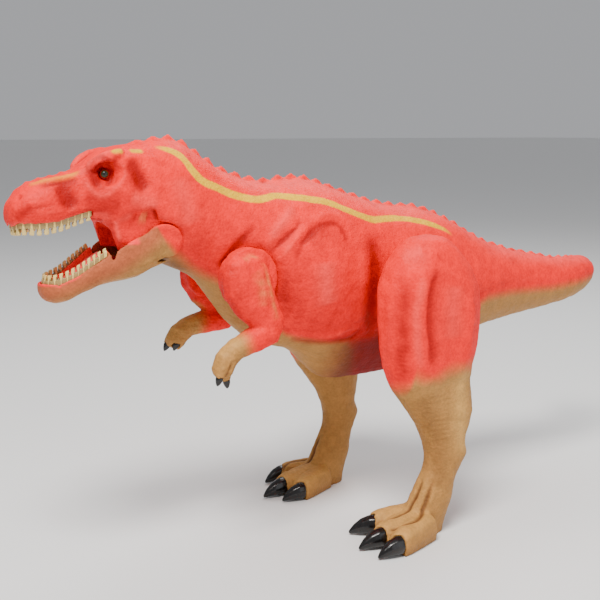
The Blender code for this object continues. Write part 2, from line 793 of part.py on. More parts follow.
def balls(places, radius):
    shape = bmesh.new()
    for place in places:
        bmesh.ops.create_uvsphere(
            shape,
            u_segments=PIN_SIDES,
            v_segments=CLAW_SIDES,
            radius=radius,
            matrix=Matrix.Translation(place),
        )
    return shape


def eye_place(side):
    out = body_side(EYE_ALONG_SHARE, EYE_LEVEL_SHARE) - EYE_SINK
    return Vector((side * out, along(EYE_ALONG_SHARE), level(EYE_LEVEL_SHARE)))


def nostril_place(side):
    out = body_side(NOSTRIL_ALONG_SHARE, NOSTRIL_LEVEL_SHARE)
    return Vector((side * out, along(NOSTRIL_ALONG_SHARE), level(NOSTRIL_LEVEL_SHARE)))


def trough_ring(wide, y, roof, floor):
    """A squared ring in the XZ plane."""
    ring = []
    for corner in range(TOE_SIDES):
        across, up = squared(2 * pi * corner / TOE_SIDES, MOUTH_POWER)
        ring.append(Vector((wide * across, y, (roof + floor) / 2 + (roof - floor) / 2 * up)))
    return ring


def upper_mouth_rings():
    rings = []
    for share in MOUTH_ROOM_SHARES:
        station = body_station(share)
        roof = level(station.bottom) + UPPER_MOUTH_DEPTH
        floor = level(station.bottom) - UPPER_MOUTH_DEPTH
        rings.append(trough_ring(half(station.half) - MOUTH_WALL, along(share), roof, floor))
    return rings


def throat_rings():
    rings = []
    for share, wide, roof, floor in THROAT_SHARES:
        rings.append(trough_ring(half(wide), along(share), level(roof), level(floor)))
    return rings


def upper_rim(share, x):
    """The height of the upper lip at a distance from the middle."""
    station = body_station(share)
    power = station.lower_power
    up = (1 - min(abs(x) / half(station.half), 1) ** power) ** (1 / power)
    return level(station.widest) - up * (level(station.widest) - level(station.bottom))


def lower_rim(share, _):
    return level(smooth_row(JAW_STATION_SHARES, share)[1])


def upper_half(share):
    return half(body_station(share).half)


def lower_half(share):
    return half(smooth_row(JAW_STATION_SHARES, share)[3])


def rim_line(half_at, level_at, rim_shares, front_share, count):
    """The middle line of a row of teeth, from the left rear round the front to the right rear."""
    rear, front = rim_shares
    inset = LIP_WIDTH + GUM_RAIL_WIDTH / 2
    left = []
    for step in range(RIM_SIDE_STEPS):
        share = rear + (front - rear) * step / RIM_SIDE_STEPS
        x = half_at(share) - inset
        left.append(Vector((x, along(share), level_at(share, x))))
    x_front = half_at(front) - inset
    reach = along(front) - along(front_share) - inset
    for step in range(RIM_FRONT_STEPS + 1):
        angle = pi / 2 * step / RIM_FRONT_STEPS
        x = x_front * cos(angle)
        y = along(front) - reach * sin(angle)
        share = y / FIGURE_LENGTH + BODY_START_SHARE
        left.append(Vector((x, y, level_at(share, x))))
    right = [Vector((-point.x, point.y, point.z)) for point in reversed(left[:-1])]
    return resampled(left + right, count)


def upper_line():
    snout = BODY_STATION_SHARES[0].along
    return rim_line(upper_half, upper_rim, UPPER_RIM_SHARES, snout, UPPER_TEETH + 1)


def lower_line():
    chin = JAW_STATION_SHARES[0][0]
    return rim_line(lower_half, lower_rim, LOWER_RIM_SHARES, chin, LOWER_TEETH + 1)


def rail_rings(line, toward, extra=0, open_side=0):
    """The gum rail under a row of teeth. Toward is 1 where the rail lies above its line, -1 below."""
    rings = []
    for index, point in enumerate(line):
        ahead = heading(line, index)
        side = Vector((ahead.y, -ahead.x, 0)).normalized() * (GUM_RAIL_WIDTH / 2 + extra)
        near = Vector((0, 0, -toward * open_side))
        far = Vector((0, 0, toward * (GUM_RAIL_HEIGHT + extra)))
        ends = ahead * extra * ((index == len(line) - 1) - (index == 0))
        middle = point + ends
        corners = ((near, -side), (near, side), (far, side), (far, -side))
        rings.append([middle + up + across for up, across in corners])
    return rings


def tooth_size(done):
    """Teeth are longest beside the front third of the row, and shorter at its rear and its middle."""
    beside = 1 - abs(2 * done - 1)
    place = beside * (len(TOOTH_SIZE_SHARES) - 1)
    index = min(int(place), len(TOOTH_SIZE_SHARES) - 2)
    low, high = TOOTH_SIZE_SHARES[index], TOOTH_SIZE_SHARES[index + 1]
    return low + (high - low) * (place - index)


def teeth(line, height, toward):
    """The row of teeth that stands on a gum rail."""
    shape = bmesh.new()
    for index in range(len(line) - 1):
        first, second = line[index], line[index + 1]
        middle = (first + second) / 2
        ahead = (second - first).normalized()
        side = Vector((ahead.y, -ahead.x, 0)).normalized()
        wide = (second - first).length * TOOTH_WIDTH_SHARE / 2
        tall = height * tooth_size((index + 0.5) / (len(line) - 1))
        rings = []
        for rise, wide_share, thick_share in TOOTH_RING_SHARES:
            centre = middle - Vector((0, 0, toward * tall * rise))
            a = ahead * wide * wide_share
            b = side * TOOTH_THICKNESS / 2 * thick_share
            rings.append([centre - a - b, centre + a - b, centre + a + b, centre - a + b])
        add_loft(shape, rings)
    return shape


def dental_piece(name, line, height, toward):
    piece = part(name, loft(rail_rings(line, toward)), "teeth")
    crowns = cutter(name + "_crowns", teeth(line, height, toward))
    boolean(piece, crowns, "UNION", crossing=True)
    return piece


def jaw_room_outline():
    """The room under the head where the lower jaw turns, seen from the side."""
    edge = arc(HINGE, JAW_KNUCKLE_RADIUS, JAW_ROOM_FROM_DEGREES, 360 + JAW_ROOM_DEGREES, ARC_STEPS)
    rear = radians(JAW_ROOM_DEGREES)
    far = 4 * JAW_HINGE_RADIUS
    edge.append((HINGE[0] + far * cos(rear), HINGE[1] + far * sin(rear)))
    edge.append((HINGE[0] - far, HINGE[1] - far))
    corner = along(MOUTH_CORNER_SHARE)
    edge.append((corner, HINGE[1] - far))
    edge.append((corner, HINGE[1] - JAW_KNUCKLE_RADIUS * KNUCKLE_STEP_SHARE))
    return edge


def ear_recess_outline():
    """The hollow in the cheek that the ear of the lower jaw swings over."""
    edge = arc(HINGE, JAW_HINGE_RADIUS + SWING_GAP, EAR_FROM_DEGREES, EAR_TOP_DEGREES, ARC_STEPS)
    for back, up in CHEEK_EDGE_SHARES:
        edge.append((HINGE[0] + JAW_HINGE_RADIUS * back, HINGE[1] + JAW_HINGE_RADIUS * up))
    corner = along(MOUTH_CORNER_SHARE) - SWING_GAP
    edge.append((corner, HINGE[1] + JAW_HINGE_RADIUS * CHEEK_FRONT_SHARE))
    edge.append((corner, HINGE[1] - JAW_HINGE_RADIUS))
    edge.append((HINGE[0] - JAW_HINGE_RADIUS, HINGE[1] - 2 * JAW_HINGE_RADIUS))
    return edge


def ear_recesses():
    shape = bmesh.new()
    outline = ear_recess_outline()
    inner, outer = EAR_IN - SWING_GAP, BODY_WIDTH / 2
    for low, high in ((inner, outer), (-outer, -inner)):
        add_loft(shape, [[Vector((x, y, z)) for y, z in outline] for x in (low, high)])
    return shape


def joint_cuts(name, place, seat, seat_radius, neck_radius, flange_radius, flange_width):
    """The seat, bore and inner pocket of the two swivel joints on one cross axis."""
    pocket = seat - SKIN_WALL
    seats = rods(on_both_sides(seat, BODY_WIDTH, place), seat_radius, DISC_SIDES)
    bores = rods(across_x(BODY_WIDTH, place), neck_radius + FIT_GAP, PEG_SIDES)
    room = flange_width + 2 * SWING_GAP
    pockets = rods(on_both_sides(pocket - room, pocket, place), flange_radius + SWING_GAP, DISC_SIDES)
    shapes = {"_seats": seats, "_bores": bores, "_pockets": pockets}
    return [cutter(name + word, shape) for word, shape in shapes.items()]


def build_body():
    body = part("body_shell", loft(body_rings()), "skin_red")
    boolean(body, cutter("brows", brows()), "UNION")
    boolean(body, cutter("crest", loft(crest_rings())), "UNION")
    sockets = balls([eye_place(1), eye_place(-1)], EYE_RADIUS + FIT_GAP)
    cuts = [
        cutter("hollow", loft(hollow_rings())),
        cutter("jaw_room", plate(jaw_room_outline(), -BODY_WIDTH / 2, BODY_WIDTH / 2)),
        cutter("ear_recesses", ear_recesses()),
        cutter("pin_bore", rods(across_x(BODY_WIDTH / 2, HINGE), JAW_PIN_RADIUS + FIT_GAP, PIN_SIDES)),
        cutter("palate", loft(upper_mouth_rings())),
        cutter("throat", loft(throat_rings())),
        cutter("upper_groove", loft(rail_rings(upper_line(), 1, FIT_GAP, CUT_OVERRUN))),
        cutter("orbits", orbits()),
        cutter("eye_sockets", sockets),
        cutter("nostrils", balls([nostril_place(1), nostril_place(-1)], NOSTRIL_RADIUS)),
    ]
    cuts += joint_cuts(
        "hip", HIP, HIP_SEAT, HIP_SEAT_RADIUS, HIP_NECK_RADIUS, HIP_FLANGE_RADIUS, HIP_FLANGE_WIDTH
    )
    cuts += joint_cuts(
        "shoulder",
        SHOULDER,
        SHOULDER_SEAT,
        SHOULDER_SEAT_RADIUS,
        SHOULDER_NECK_RADIUS,
        SHOULDER_FLANGE_RADIUS,
        SHOULDER_FLANGE_WIDTH,
    )
    for cut in cuts:
        boolean(body, cut, "DIFFERENCE")
    finish_shading(body)
    return body


def build_eyes():
    for name, side in (("eye_left", 1), ("eye_right", -1)):
        eye = part(name, balls([eye_place(side)], EYE_RADIUS), "eye")
        finish_shading(eye)


def jaw_rings():
    rings = []
    for share, gum, under, wide in JAW_STATION_SHARES:
        low, high = level(under), level(gum)
        middle = low + (high - low) * JAW_WIDEST_SHARE
        ring = []
        for corner in range(LIMB_SIDES):
            angle = 2 * pi * corner / LIMB_SIDES
            across, up = squared(angle, GUM_POWER if sin(angle) >= 0 else CHIN_POWER)
            z = middle + up * ((high - middle) if up >= 0 else (middle - low))
            ring.append(Vector((half(wide) * across, along(share), z)))
        rings.append(ring)
    return rings


def jaw_rear_outline():
    """What is trimmed off behind the ear and behind the chin's root, seen from the side."""
    near = JAW_HINGE_RADIUS - SWING_GAP
    edge = arc(HINGE, near, JAW_REAR_DEGREES, JAW_REAR_TOP_DEGREES, ARC_STEPS)
    return edge + arc(HINGE, 4 * JAW_HINGE_RADIUS, JAW_REAR_TOP_DEGREES, JAW_REAR_DEGREES, ARC_STEPS)


def jaw_middle_outline():
    """The room between the ears, which the root of the head fills, seen from the side."""
    near = JAW_KNUCKLE_RADIUS + SWING_GAP
    edge = arc(HINGE, near, JAW_MIDDLE_FROM_DEGREES, 360 + JAW_MIDDLE_DEGREES, ARC_STEPS)
    rear = radians(JAW_MIDDLE_DEGREES)
    far = 3 * JAW_HINGE_RADIUS
    edge.append((HINGE[0] + far * cos(rear), HINGE[1] + far * sin(rear)))
    edge.append((HINGE[0] + far, HINGE[1] + far))
    step = along(FLOOR_STEP_SHARE) - SWING_GAP
    edge.append((step, HINGE[1] + far))
    edge.append((step, HINGE[1] - THROAT_DROP))
    return edge


def lower_mouth_rings():
    rings = []
    for share in LOWER_ROOM_SHARES:
        gum = lower_rim(share, 0)
        wide = lower_half(share) - MOUTH_WALL
        rings.append(trough_ring(wide, along(share), gum + LOWER_MOUTH_DEPTH, gum - LOWER_MOUTH_DEPTH))
    return rings


def cheek_rings():
    """The stretch of the head that the ears of the lower jaw lie flush with."""
    places = [share for share in spread_places() if CHEEK_FROM_SHARE < share < CHEEK_TO_SHARE]
    return [section(body_station(share), BODY_SIDES) for share in places]


def build_jaw(pivot):
    jaw = part("lower_jaw", loft(jaw_rings()), "skin_tan")
    rear = cutter("jaw_rear", plate(jaw_rear_outline(), -BODY_WIDTH, BODY_WIDTH))
    ears = cutter("jaw_ears", rods(across_x(BODY_WIDTH / 2, HINGE), JAW_HINGE_RADIUS, DISC_SIDES))
    boolean(ears, cutter("head_form", loft(cheek_rings())), "INTERSECT")
    triangulate(ears)
    middle = cutter("jaw_middle", plate(jaw_middle_outline(), -EAR_IN, EAR_IN))
    trough = cutter("jaw_trough", loft(lower_mouth_rings()))
    groove = cutter("lower_groove", loft(rail_rings(lower_line(), -1, FIT_GAP, CUT_OVERRUN)))
    reach = half(EAR_OUT_SHARE) - JAW_PIN_SKIN
    holes = cutter("pin_holes", rods(across_x(reach, HINGE), JAW_PIN_RADIUS + FIT_GAP, PIN_SIDES))
    boolean(jaw, rear, "DIFFERENCE")
    triangulate(jaw)
    boolean(jaw, ears, "UNION")
    for cut in (middle, trough, groove, holes):
        triangulate(jaw)
        boolean(jaw, cut, "DIFFERENCE")
    finish_shading(jaw)
    lower = dental_piece("lower_teeth", lower_line(), LOWER_TOOTH_HEIGHT, -1)
    crowns = bpy.data.objects["lower_teeth_crowns"]
    tongue = build_tongue()
    ride_on(pivot, jaw, rear, ears, middle, trough, groove, holes, lower, crowns, tongue)


def build_tongue():
    rings = []
    for done, wide, thick in TONGUE_RING_SHARES:
        share = TONGUE_REAR_SHARE - TONGUE_LENGTH / FIGURE_LENGTH * done
        floor = lower_rim(share, 0) - LOWER_MOUTH_DEPTH + FIT_GAP
        roof = floor + TONGUE_THICKNESS * thick
        rings.append(trough_ring(TONGUE_WIDTH / 2 * wide, along(share), roof, floor))
    tongue = part("tongue", loft(rings), "mouth")
    finish_shading(tongue)
    return tongue


def build_jaw_pin():
    reach = half(EAR_OUT_SHARE) - JAW_PIN_SKIN - FIT_GAP
    pin = part("jaw_pin", rods(across_x(reach, HINGE), JAW_PIN_RADIUS, PIN_SIDES), "pin")
    finish_shading(pin)


def build_plug(name, pivot, side, flange_radius, flange_width, neck_radius, peg_length):
    """A turned plug: a flange inside the shell, a neck through its wall and a peg in the limb."""
    inner = -(SKIN_WALL + FIT_GAP + flange_width)
    shoulder = inner + flange_width
    tip = FIT_GAP + peg_length
    edge = neck_radius - PLUG_CHAMFER
    profile = [
        (0, tip),
        (edge, tip),
        (neck_radius, tip - PLUG_CHAMFER),
        (neck_radius, shoulder),
        (flange_radius, shoulder),
        (flange_radius, inner),
        (0, inner),
    ]
    mesh = bpy.data.meshes.new(name)
    points = [(radius, 0, place) for radius, place in profile]
    mesh.from_pydata(points, [(i, i + 1) for i in range(len(points) - 1)], [])
    plug = bpy.data.objects.new(name, mesh)
    PARTS.objects.link(plug)
    plug.data.materials.append(make_material(name + "_finish", "plug"))
    turn = plug.modifiers.new("turned", "SCREW")
    turn.axis = "Z"
    turn.steps = PEG_SIDES
    turn.render_steps = PEG_SIDES
    turn.use_merge_vertices = True
    turn.merge_threshold = MERGE_DISTANCE
    plug.parent = pivot
    plug.rotation_euler = (0, side * pi / 2, 0)


def leg_rings(side):
    rings = []
    for place in LEG_STATION_SHARES:
        height, front, rear, inner, outer, power = place
        z = HIP_HEIGHT * height
        y_middle = HIP[0] + THIGH_LENGTH * (front + rear) / 2
        y_half = THIGH_LENGTH * (rear - front) / 2
        x_middle = LEG_IN + LEG_WIDTH * (inner + outer) / 2
        x_half = LEG_WIDTH * (outer - inner) / 2
        ring = []
        for corner in range(LIMB_SIDES):
            across, back = squared(2 * pi * corner / LIMB_SIDES, power)
            y = y_middle + y_half * back
            x = x_middle + x_half * across
            if across > 0:
                x += thigh_relief(height, (y - HIP[0]) / THIGH_LENGTH) * across
            if back > 0:
                x += calf_bulge(height) * back**2
            ring.append(Vector((side * x, y, z)))
        rings.append(ring)
    return rings


def calf_bulge(height):
    return LEG_WIDTH * CALF_OUT_SHARE * bell(height - CALF_HEIGHT_SHARE, CALF_REACH_SHARE)


def thigh_relief(height, back):
    total = 0
    for push in THIGH_PUSH_SHARES:
        near = bell(height - push.along, push.along_reach)
        total += push.depth * near * bell(back - push.level, push.level_reach)
    return LEG_WIDTH * total


def toe_line(word, side, name):
    """The root and the end of a toe on the floor, with its size beside the middle toe's."""
    root_x, end_x, root_y, end_y, size = TOE_SHARES[word][name]
    root = Vector((side * (LEG_IN + LEG_WIDTH * root_x), HIP[0] + THIGH_LENGTH * root_y, 0))
    end = Vector((side * (LEG_IN + LEG_WIDTH * end_x), HIP[0] + THIGH_LENGTH * end_y, 0))
    return root, end, size


def upright_ring(centre, ahead, wide, low, high, power, sides):
    """A ring across a level direction, from a low to a high level."""
    across = Vector((ahead.y, -ahead.x, 0)) * wide
    ring = []
    for corner in range(sides):
        x, up = squared(2 * pi * corner / sides, power)
        ring.append(centre + across * x + Vector((0, 0, (low + high) / 2 + (high - low) / 2 * up)))
    return ring


def toe_rings(word, side, name):
    root, end, size = toe_line(word, side, name)
    ahead = (end - root).normalized()
    rings = []
    for done, wide, tall in TOE_RING_SHARES:
        centre = root.lerp(end, done)
        top = TOE_HEIGHT * size * tall
        low = -FLOOR_CUT * tall
        reach = TOE_WIDTH / 2 * size * wide
        rings.append(upright_ring(centre, ahead, reach, low, top, TOE_POWER, TOE_SIDES))
    return rings


def toe_claw_rings(word, side, name, extra=0, low=CLAW_LIFT):
    _, end, size = toe_line(word, side, name)
    inward = radians(TOE_CLAW_INWARD_DEGREES[word][name])
    ahead = Vector((-side * sin(inward), -cos(inward), 0))
    start = end - ahead * (2 * PIECE_BITE + extra)
    rings = []
    for done, wide, tall in CLAW_RING_SHARES:
        centre = start + ahead * (TOE_CLAW_LENGTH * size * done + extra * (done > 0))
        top = CLAW_LIFT + TOE_CLAW_HEIGHT * size * tall + extra
        reach = TOE_CLAW_WIDTH / 2 * size * wide + extra
        rings.append(upright_ring(centre, ahead, reach, low, top, CLAW_POWER, CLAW_SIDES))
    return rings


def floor_block():
    """Everything below the floor, which cuts the soles flat."""
    shape = bmesh.new()
    tall = 4 * FLOOR_CUT
    size = Matrix.Diagonal((2 * FIGURE_LENGTH, 2 * FIGURE_LENGTH, tall, 1))
    bmesh.ops.create_cube(shape, size=1, matrix=Matrix.Translation((0, 0, -tall / 2)) @ size)
    return shape


def side_rod(side, low, high, place, radius, sides):
    """A rod across the body on one side, from a near to a far distance from the middle."""
    return rods([((side * low, *place), (side * high, *place))], radius, sides)


def build_leg(word, side, pivot):
    leg = part("leg_" + word, loft(leg_rings(side)), "skin_tan")
    disc_out = LEG_IN + LEG_WIDTH / 3
    disc = side_rod(side, HIP_SEAT + FIT_GAP, disc_out, HIP, HIP_DISC_RADIUS, DISC_SIDES)
    helpers = [cutter("hip_disc_" + word, disc)]
    for toe in TOE_SHARES[word]:
        helpers.append(cutter("toe_" + toe + "_" + word, loft(toe_rings(word, side, toe))))
    for helper in helpers:
        boolean(leg, helper, "UNION")
    bore_end = HIP_SEAT + 2 * FIT_GAP + HIP_PEG_LENGTH
    bore = side_rod(side, HIP_SEAT - FIT_GAP, bore_end, HIP, HIP_NECK_RADIUS + FIT_GAP, PEG_SIDES)
    cuts = [cutter("floor_" + word, floor_block()), cutter("hip_peg_bore_" + word, bore)]
    claws = []
    for toe in TOE_SHARES[word]:
        room = toe_claw_rings(word, side, toe, FIT_GAP, -FLOOR_CUT)
        cuts.append(cutter("claw_room_" + toe + "_" + word, loft(room)))
        claw = part("toe_claw_" + toe + "_" + word, loft(toe_claw_rings(word, side, toe)), "claw")
        finish_shading(claw)
        claws.append(claw)
    for cut in cuts:
        boolean(leg, cut, "DIFFERENCE")
    finish_shading(leg)
    ride_on(pivot, leg, *helpers, *cuts, *claws)


def arm_point(side, back, up, sideways=0, lifted=True):
    """A place in the arm's own plane. The right forearm and hand are moulded bent further up."""
    place = Vector((0, ARM_REACH * back, ARM_REACH * up))
    if lifted and side < 0:
        elbow = Vector((0, ARM_REACH * ELBOW_SHARES[0], ARM_REACH * ELBOW_SHARES[1]))
        place = elbow + Matrix.Rotation(-radians(RIGHT_ELBOW_LIFT_DEGREES), 3, "X") @ (place - elbow)
    x = side * (ARM_MIDDLE + ARM_WIDTH * sideways)
    return Vector((x, SHOULDER[0] + place.y, SHOULDER[1] + place.z))


def arm_rings(side, rows, lifted):
    """Rings square to a bent line in the arm's own plane."""
    line = [arm_point(side, back, up, 0, lifted) for back, up, _, _ in rows]
    rings = []
    for index, (_, _, across_half, plane_half) in enumerate(rows):
        ahead = heading(line, index)
        normal = Vector((0, -ahead.z, ahead.y))
        ring = []
        for corner in range(ARM_SIDES):
            across, out = squared(2 * pi * corner / ARM_SIDES, ARM_POWER)
            offset = Vector((across_half * across, 0, 0)) + normal * plane_half * out
            ring.append(line[index] + offset * ARM_WIDTH)
        rings.append(ring)
    return rings


def finger_line(side, name):
    shares = FINGER_SHARES["left" if side > 0 else "right"]
    back_root, up_root, back_end, up_end, sideways = shares[name]
    return arm_point(side, back_root, up_root, sideways), arm_point(side, back_end, up_end, sideways)


def round_rings(start, ahead, rows, sides):
    """Round rings along a line in the YZ plane, each given by its distance and its radius."""
    normal = Vector((0, -ahead.z, ahead.y))
    rings = []
    for distance, radius in rows:
        ring = []
        for corner in range(sides):
            angle = 2 * pi * corner / sides
            offset = Vector((radius * cos(angle), 0, 0)) + normal * radius * sin(angle)
            ring.append(start + ahead * distance + offset)
        rings.append(ring)
    return rings


def finger_rings(side, name):
    root, end = finger_line(side, name)
    run = end - root
    rows = [(run.length * done, FINGER_WIDTH / 2 * wide) for done, wide in FINGER_ROW_SHARES]
    return round_rings(root, run.normalized(), rows, TOE_SIDES)


def finger_claw_rings(side, name, extra=0):
    root, end = finger_line(side, name)
    ahead = (end - root).normalized()
    start = end - ahead * (PIECE_BITE + extra)
    rows = []
    for done, wide in FINGER_CLAW_SHARES:
        distance = FINGER_CLAW_LENGTH * done + 2 * extra * (done > 0)
        rows.append((distance, FINGER_CLAW_WIDTH / 2 * wide + extra))
    return round_rings(start, ahead, rows, CLAW_SIDES)


def build_arm(word, side, pivot):
    arm = part("arm_" + word, loft(arm_rings(side, UPPER_ARM_SHARES, False)), "skin_red")
    seat = SHOULDER_SEAT
    disc = side_rod(side, seat + FIT_GAP, ARM_MIDDLE, SHOULDER, SHOULDER_DISC_RADIUS, DISC_SIDES)
    helpers = [
        cutter("forearm_" + word, loft(arm_rings(side, FOREARM_SHARES, True))),
        cutter("shoulder_disc_" + word, disc),
    ]
    for finger in FINGER_SHARES[word]:
        helpers.append(cutter("finger_" + finger + "_" + word, loft(finger_rings(side, finger))))
    for helper in helpers:
        boolean(arm, helper, "UNION")
    neck = SHOULDER_NECK_RADIUS + FIT_GAP
    bore_end = seat + 2 * FIT_GAP + SHOULDER_PEG_LENGTH
    bore = side_rod(side, seat - FIT_GAP, bore_end, SHOULDER, neck, PEG_SIDES)
    cuts = [cutter("shoulder_peg_bore_" + word, bore)]
    claws = []
    for finger in FINGER_SHARES[word]:
        room = finger_claw_rings(side, finger, FIT_GAP)
        cuts.append(cutter("finger_claw_room_" + finger + "_" + word, loft(room)))
        claw = part("finger_claw_" + finger + "_" + word, loft(finger_claw_rings(side, finger)), "claw")
        finish_shading(claw)
        claws.append(claw)
    for cut in cuts:
        boolean(arm, cut, "DIFFERENCE")
    finish_shading(arm)
    ride_on(pivot, arm, *helpers, *cuts, *claws)


def build_limbs():
    for word, side in (("left", 1), ("right", -1)):
        hip = joint_empty("hip_" + word, (side * HIP_SEAT, *HIP))
        build_leg(word, side, hip)
        build_plug(
            "hip_plug_" + word,
            hip,
            side,
            HIP_FLANGE_RADIUS,
            HIP_FLANGE_WIDTH,
            HIP_NECK_RADIUS,
            HIP_PEG_LENGTH,
        )
        shoulder = joint_empty("shoulder_" + word, (side * SHOULDER_SEAT, *SHOULDER))
        build_arm(word, side, shoulder)
        build_plug(
            "shoulder_plug_" + word,
            shoulder,
            side,
            SHOULDER_FLANGE_RADIUS,
            SHOULDER_FLANGE_WIDTH,
            SHOULDER_NECK_RADIUS,
            SHOULDER_PEG_LENGTH,
        )


def main():
    build_body()
    build_eyes()
    dental_piece("upper_teeth", upper_line(), UPPER_TOOTH_HEIGHT, 1)
    build_jaw_pin()
    build_jaw(joint_empty("jaw_hinge", (0, *HINGE)))
    build_limbs()


main()
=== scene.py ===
# Dresses the toy dinosaur: a sculpted vinyl skin, airbrushed colours with painted shade and painted
# highlights, teeth, claws and eyes.
from math import cos, pi, radians, sin

import bmesh
import bpy
import numpy as np
from mathutils import Matrix, Vector
from mathutils.bvhtree import BVHTree
from mathutils.kdtree import KDTree


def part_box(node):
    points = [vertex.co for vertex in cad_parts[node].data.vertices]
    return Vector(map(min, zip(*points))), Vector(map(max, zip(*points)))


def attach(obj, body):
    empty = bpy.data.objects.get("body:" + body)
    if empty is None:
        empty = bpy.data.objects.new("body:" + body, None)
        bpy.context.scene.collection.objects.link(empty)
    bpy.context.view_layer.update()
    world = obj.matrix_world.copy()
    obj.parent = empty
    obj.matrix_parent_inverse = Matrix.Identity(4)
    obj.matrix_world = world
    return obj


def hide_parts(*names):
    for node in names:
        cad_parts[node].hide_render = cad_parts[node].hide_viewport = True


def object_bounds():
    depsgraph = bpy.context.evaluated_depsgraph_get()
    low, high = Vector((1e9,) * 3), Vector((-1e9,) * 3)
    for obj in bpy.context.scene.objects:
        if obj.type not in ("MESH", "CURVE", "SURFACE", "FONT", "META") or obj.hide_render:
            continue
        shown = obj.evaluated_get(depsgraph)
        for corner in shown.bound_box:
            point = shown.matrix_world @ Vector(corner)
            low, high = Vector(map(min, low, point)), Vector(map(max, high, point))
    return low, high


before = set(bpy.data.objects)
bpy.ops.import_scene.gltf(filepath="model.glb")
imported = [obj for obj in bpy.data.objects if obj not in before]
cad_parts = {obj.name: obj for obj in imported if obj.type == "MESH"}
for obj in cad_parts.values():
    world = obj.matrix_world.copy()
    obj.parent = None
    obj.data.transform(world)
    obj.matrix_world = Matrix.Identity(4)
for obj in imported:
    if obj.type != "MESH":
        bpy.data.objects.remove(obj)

cadBounds = [list(corner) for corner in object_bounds()]
mm = 0.001

# Colours are linear light
paints = {
    "red": (0.92, 0.004, 0.004),
    # deepRed, pinkRed, palePink, maroon and brown serve below mostly as painted shade and painted highlights;
    # deepRed also rims the eyes
    "deepRed": (0.34, 0.001, 0.001),
    "pinkRed": (1.00, 0.014, 0.011),
    "palePink": (1.00, 0.062, 0.050),
    "tan": (0.40, 0.190, 0.050),
    "paleTan": (0.66, 0.36, 0.095),
    "maroon": (0.14, 0.008, 0.006),
    "ruddyTan": (0.42, 0.088, 0.034),
    "brown": (0.13, 0.045, 0.014),
    "yellow": (0.80, 0.43, 0.000),
    "mouthRed": (0.30, 0.001, 0.002),
    "gumPink": (0.95, 0.035, 0.030),
    "cream": (0.72, 0.52, 0.16),
    "toothShadeBrown": (0.10, 0.034, 0.009),
    "olive": (0.020, 0.030, 0.006),
    "black": (0.006, 0.005, 0.005),
}


# Mesh helpers

def linkNew(name, mesh):
    made = bpy.data.objects.new(name, mesh)
    bpy.context.scene.collection.objects.link(made)
    return made


def copyOfNode(nodeName, pieceName):  # a welded copy of the CAD node's mesh
    shape = bmesh.new()
    shape.from_mesh(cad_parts[nodeName].data)
    bmesh.ops.remove_doubles(shape, verts=shape.verts, dist=0.002 * mm)
    mesh = bpy.data.meshes.new(pieceName)
    shape.to_mesh(mesh)
    shape.free()
    return linkNew(pieceName, mesh)


def applyModifiers(piece):
    graph = bpy.context.evaluated_depsgraph_get()
    baked = bpy.data.meshes.new_from_object(piece.evaluated_get(graph))
    old = piece.data
    piece.modifiers.clear()
    piece.data = baked
    bpy.data.meshes.remove(old)


def remesh(piece, voxel):
    step = piece.modifiers.new("voxels", "REMESH")
    step.mode = "VOXEL"
    step.voxel_size = voxel * mm
    step.use_smooth_shade = True
    applyModifiers(piece)


def pointsOf(piece):
    points = np.empty(len(piece.data.vertices) * 3, np.float32)
    piece.data.vertices.foreach_get("co", points)
    return points.reshape(-1, 3) / mm


def normalsOf(piece):
    normals = np.empty(len(piece.data.vertices) * 3, np.float32)
    piece.data.vertex_normals.foreach_get("vector", normals)
    return normals.reshape(-1, 3)


def setPoints(piece, points):
    inside = np.clip(points * mm, cadBounds[0], cadBounds[1])
    piece.data.vertices.foreach_set("co", inside.astype(np.float32).ravel())
    piece.data.update()


def smoothed(piece, points, rounds, weights=0.5):  # moves each point towards the middle of its neighbours
    pairs = np.empty(len(piece.data.edges) * 2, np.int64)
    piece.data.edges.foreach_get("vertices", pairs)
    first, second = pairs.reshape(-1, 2).T
    joined = np.maximum(np.bincount(pairs, minlength=len(points)), 1)
    for _ in range(rounds):
        middle = np.empty_like(points)
        for axis in range(3):
            middle[:, axis] = np.bincount(first, points[second, axis], len(points))
            middle[:, axis] += np.bincount(second, points[first, axis], len(points))
        points = points + (middle / joined[:, None] - points) * weights
    return points


def relax(piece, weights, rounds):  # evens out facets where the weight is high
    share = 0.5 * np.clip(weights, 0, 1)[:, None]
    setPoints(piece, smoothed(piece, pointsOf(piece).astype(float), rounds, share))


def largestShell(piece):  # drops sealed inner surfaces that nobody can see
    shape = bmesh.new()
    shape.from_mesh(piece.data)
    shape.verts.ensure_lookup_table()
    shell = np.full(len(shape.verts), -1)
    count = 0
    for first in shape.verts:
        if shell[first.index] >= 0:
            continue
        stack = [first]
        shell[first.index] = count
        while stack:
            for edge in stack.pop().link_edges:
                for vert in edge.verts:
                    if shell[vert.index] < 0:
                        shell[vert.index] = count
                        stack.append(vert)
        count += 1
    keep = np.bincount(shell).argmax()
    gone = [vert for vert in shape.verts if shell[vert.index] != keep]
    bmesh.ops.delete(shape, geom=gone, context="VERTS")
    shape.to_mesh(piece.data)
    shape.free()


# Strokes: a stroke is a line of points in mm. Two numbers are (y, z) seen from the side, laid on the
# skin from outside; three are (x, y, z), moved to the nearest skin.

strokeReach = 2.4  # radii past which a stroke is too weak to matter
outside = 120  # mm beside the figure, where a stroke laid from the side starts

def smoothLine(points, between=5):
    points = [np.array(point, float) for point in points]
    if len(points) == 1:
        return np.array([points[0], points[0] + 0.01])
    found = []
    for index in range(len(points) - 1):
        before = points[max(index - 1, 0)]
        low, high = points[index], points[index + 1]
        after = points[min(index + 2, len(points) - 1)]
        for step in range(between):
            t = step / between
            found.append(
                0.5 * (2 * low + (high - before) * t + (2 * before - 5 * low + 4 * high - after) * t**2
                       + (3 * low - before - 3 * high + after) * t**3)
            )
    found.append(points[-1])
    return np.array(found)


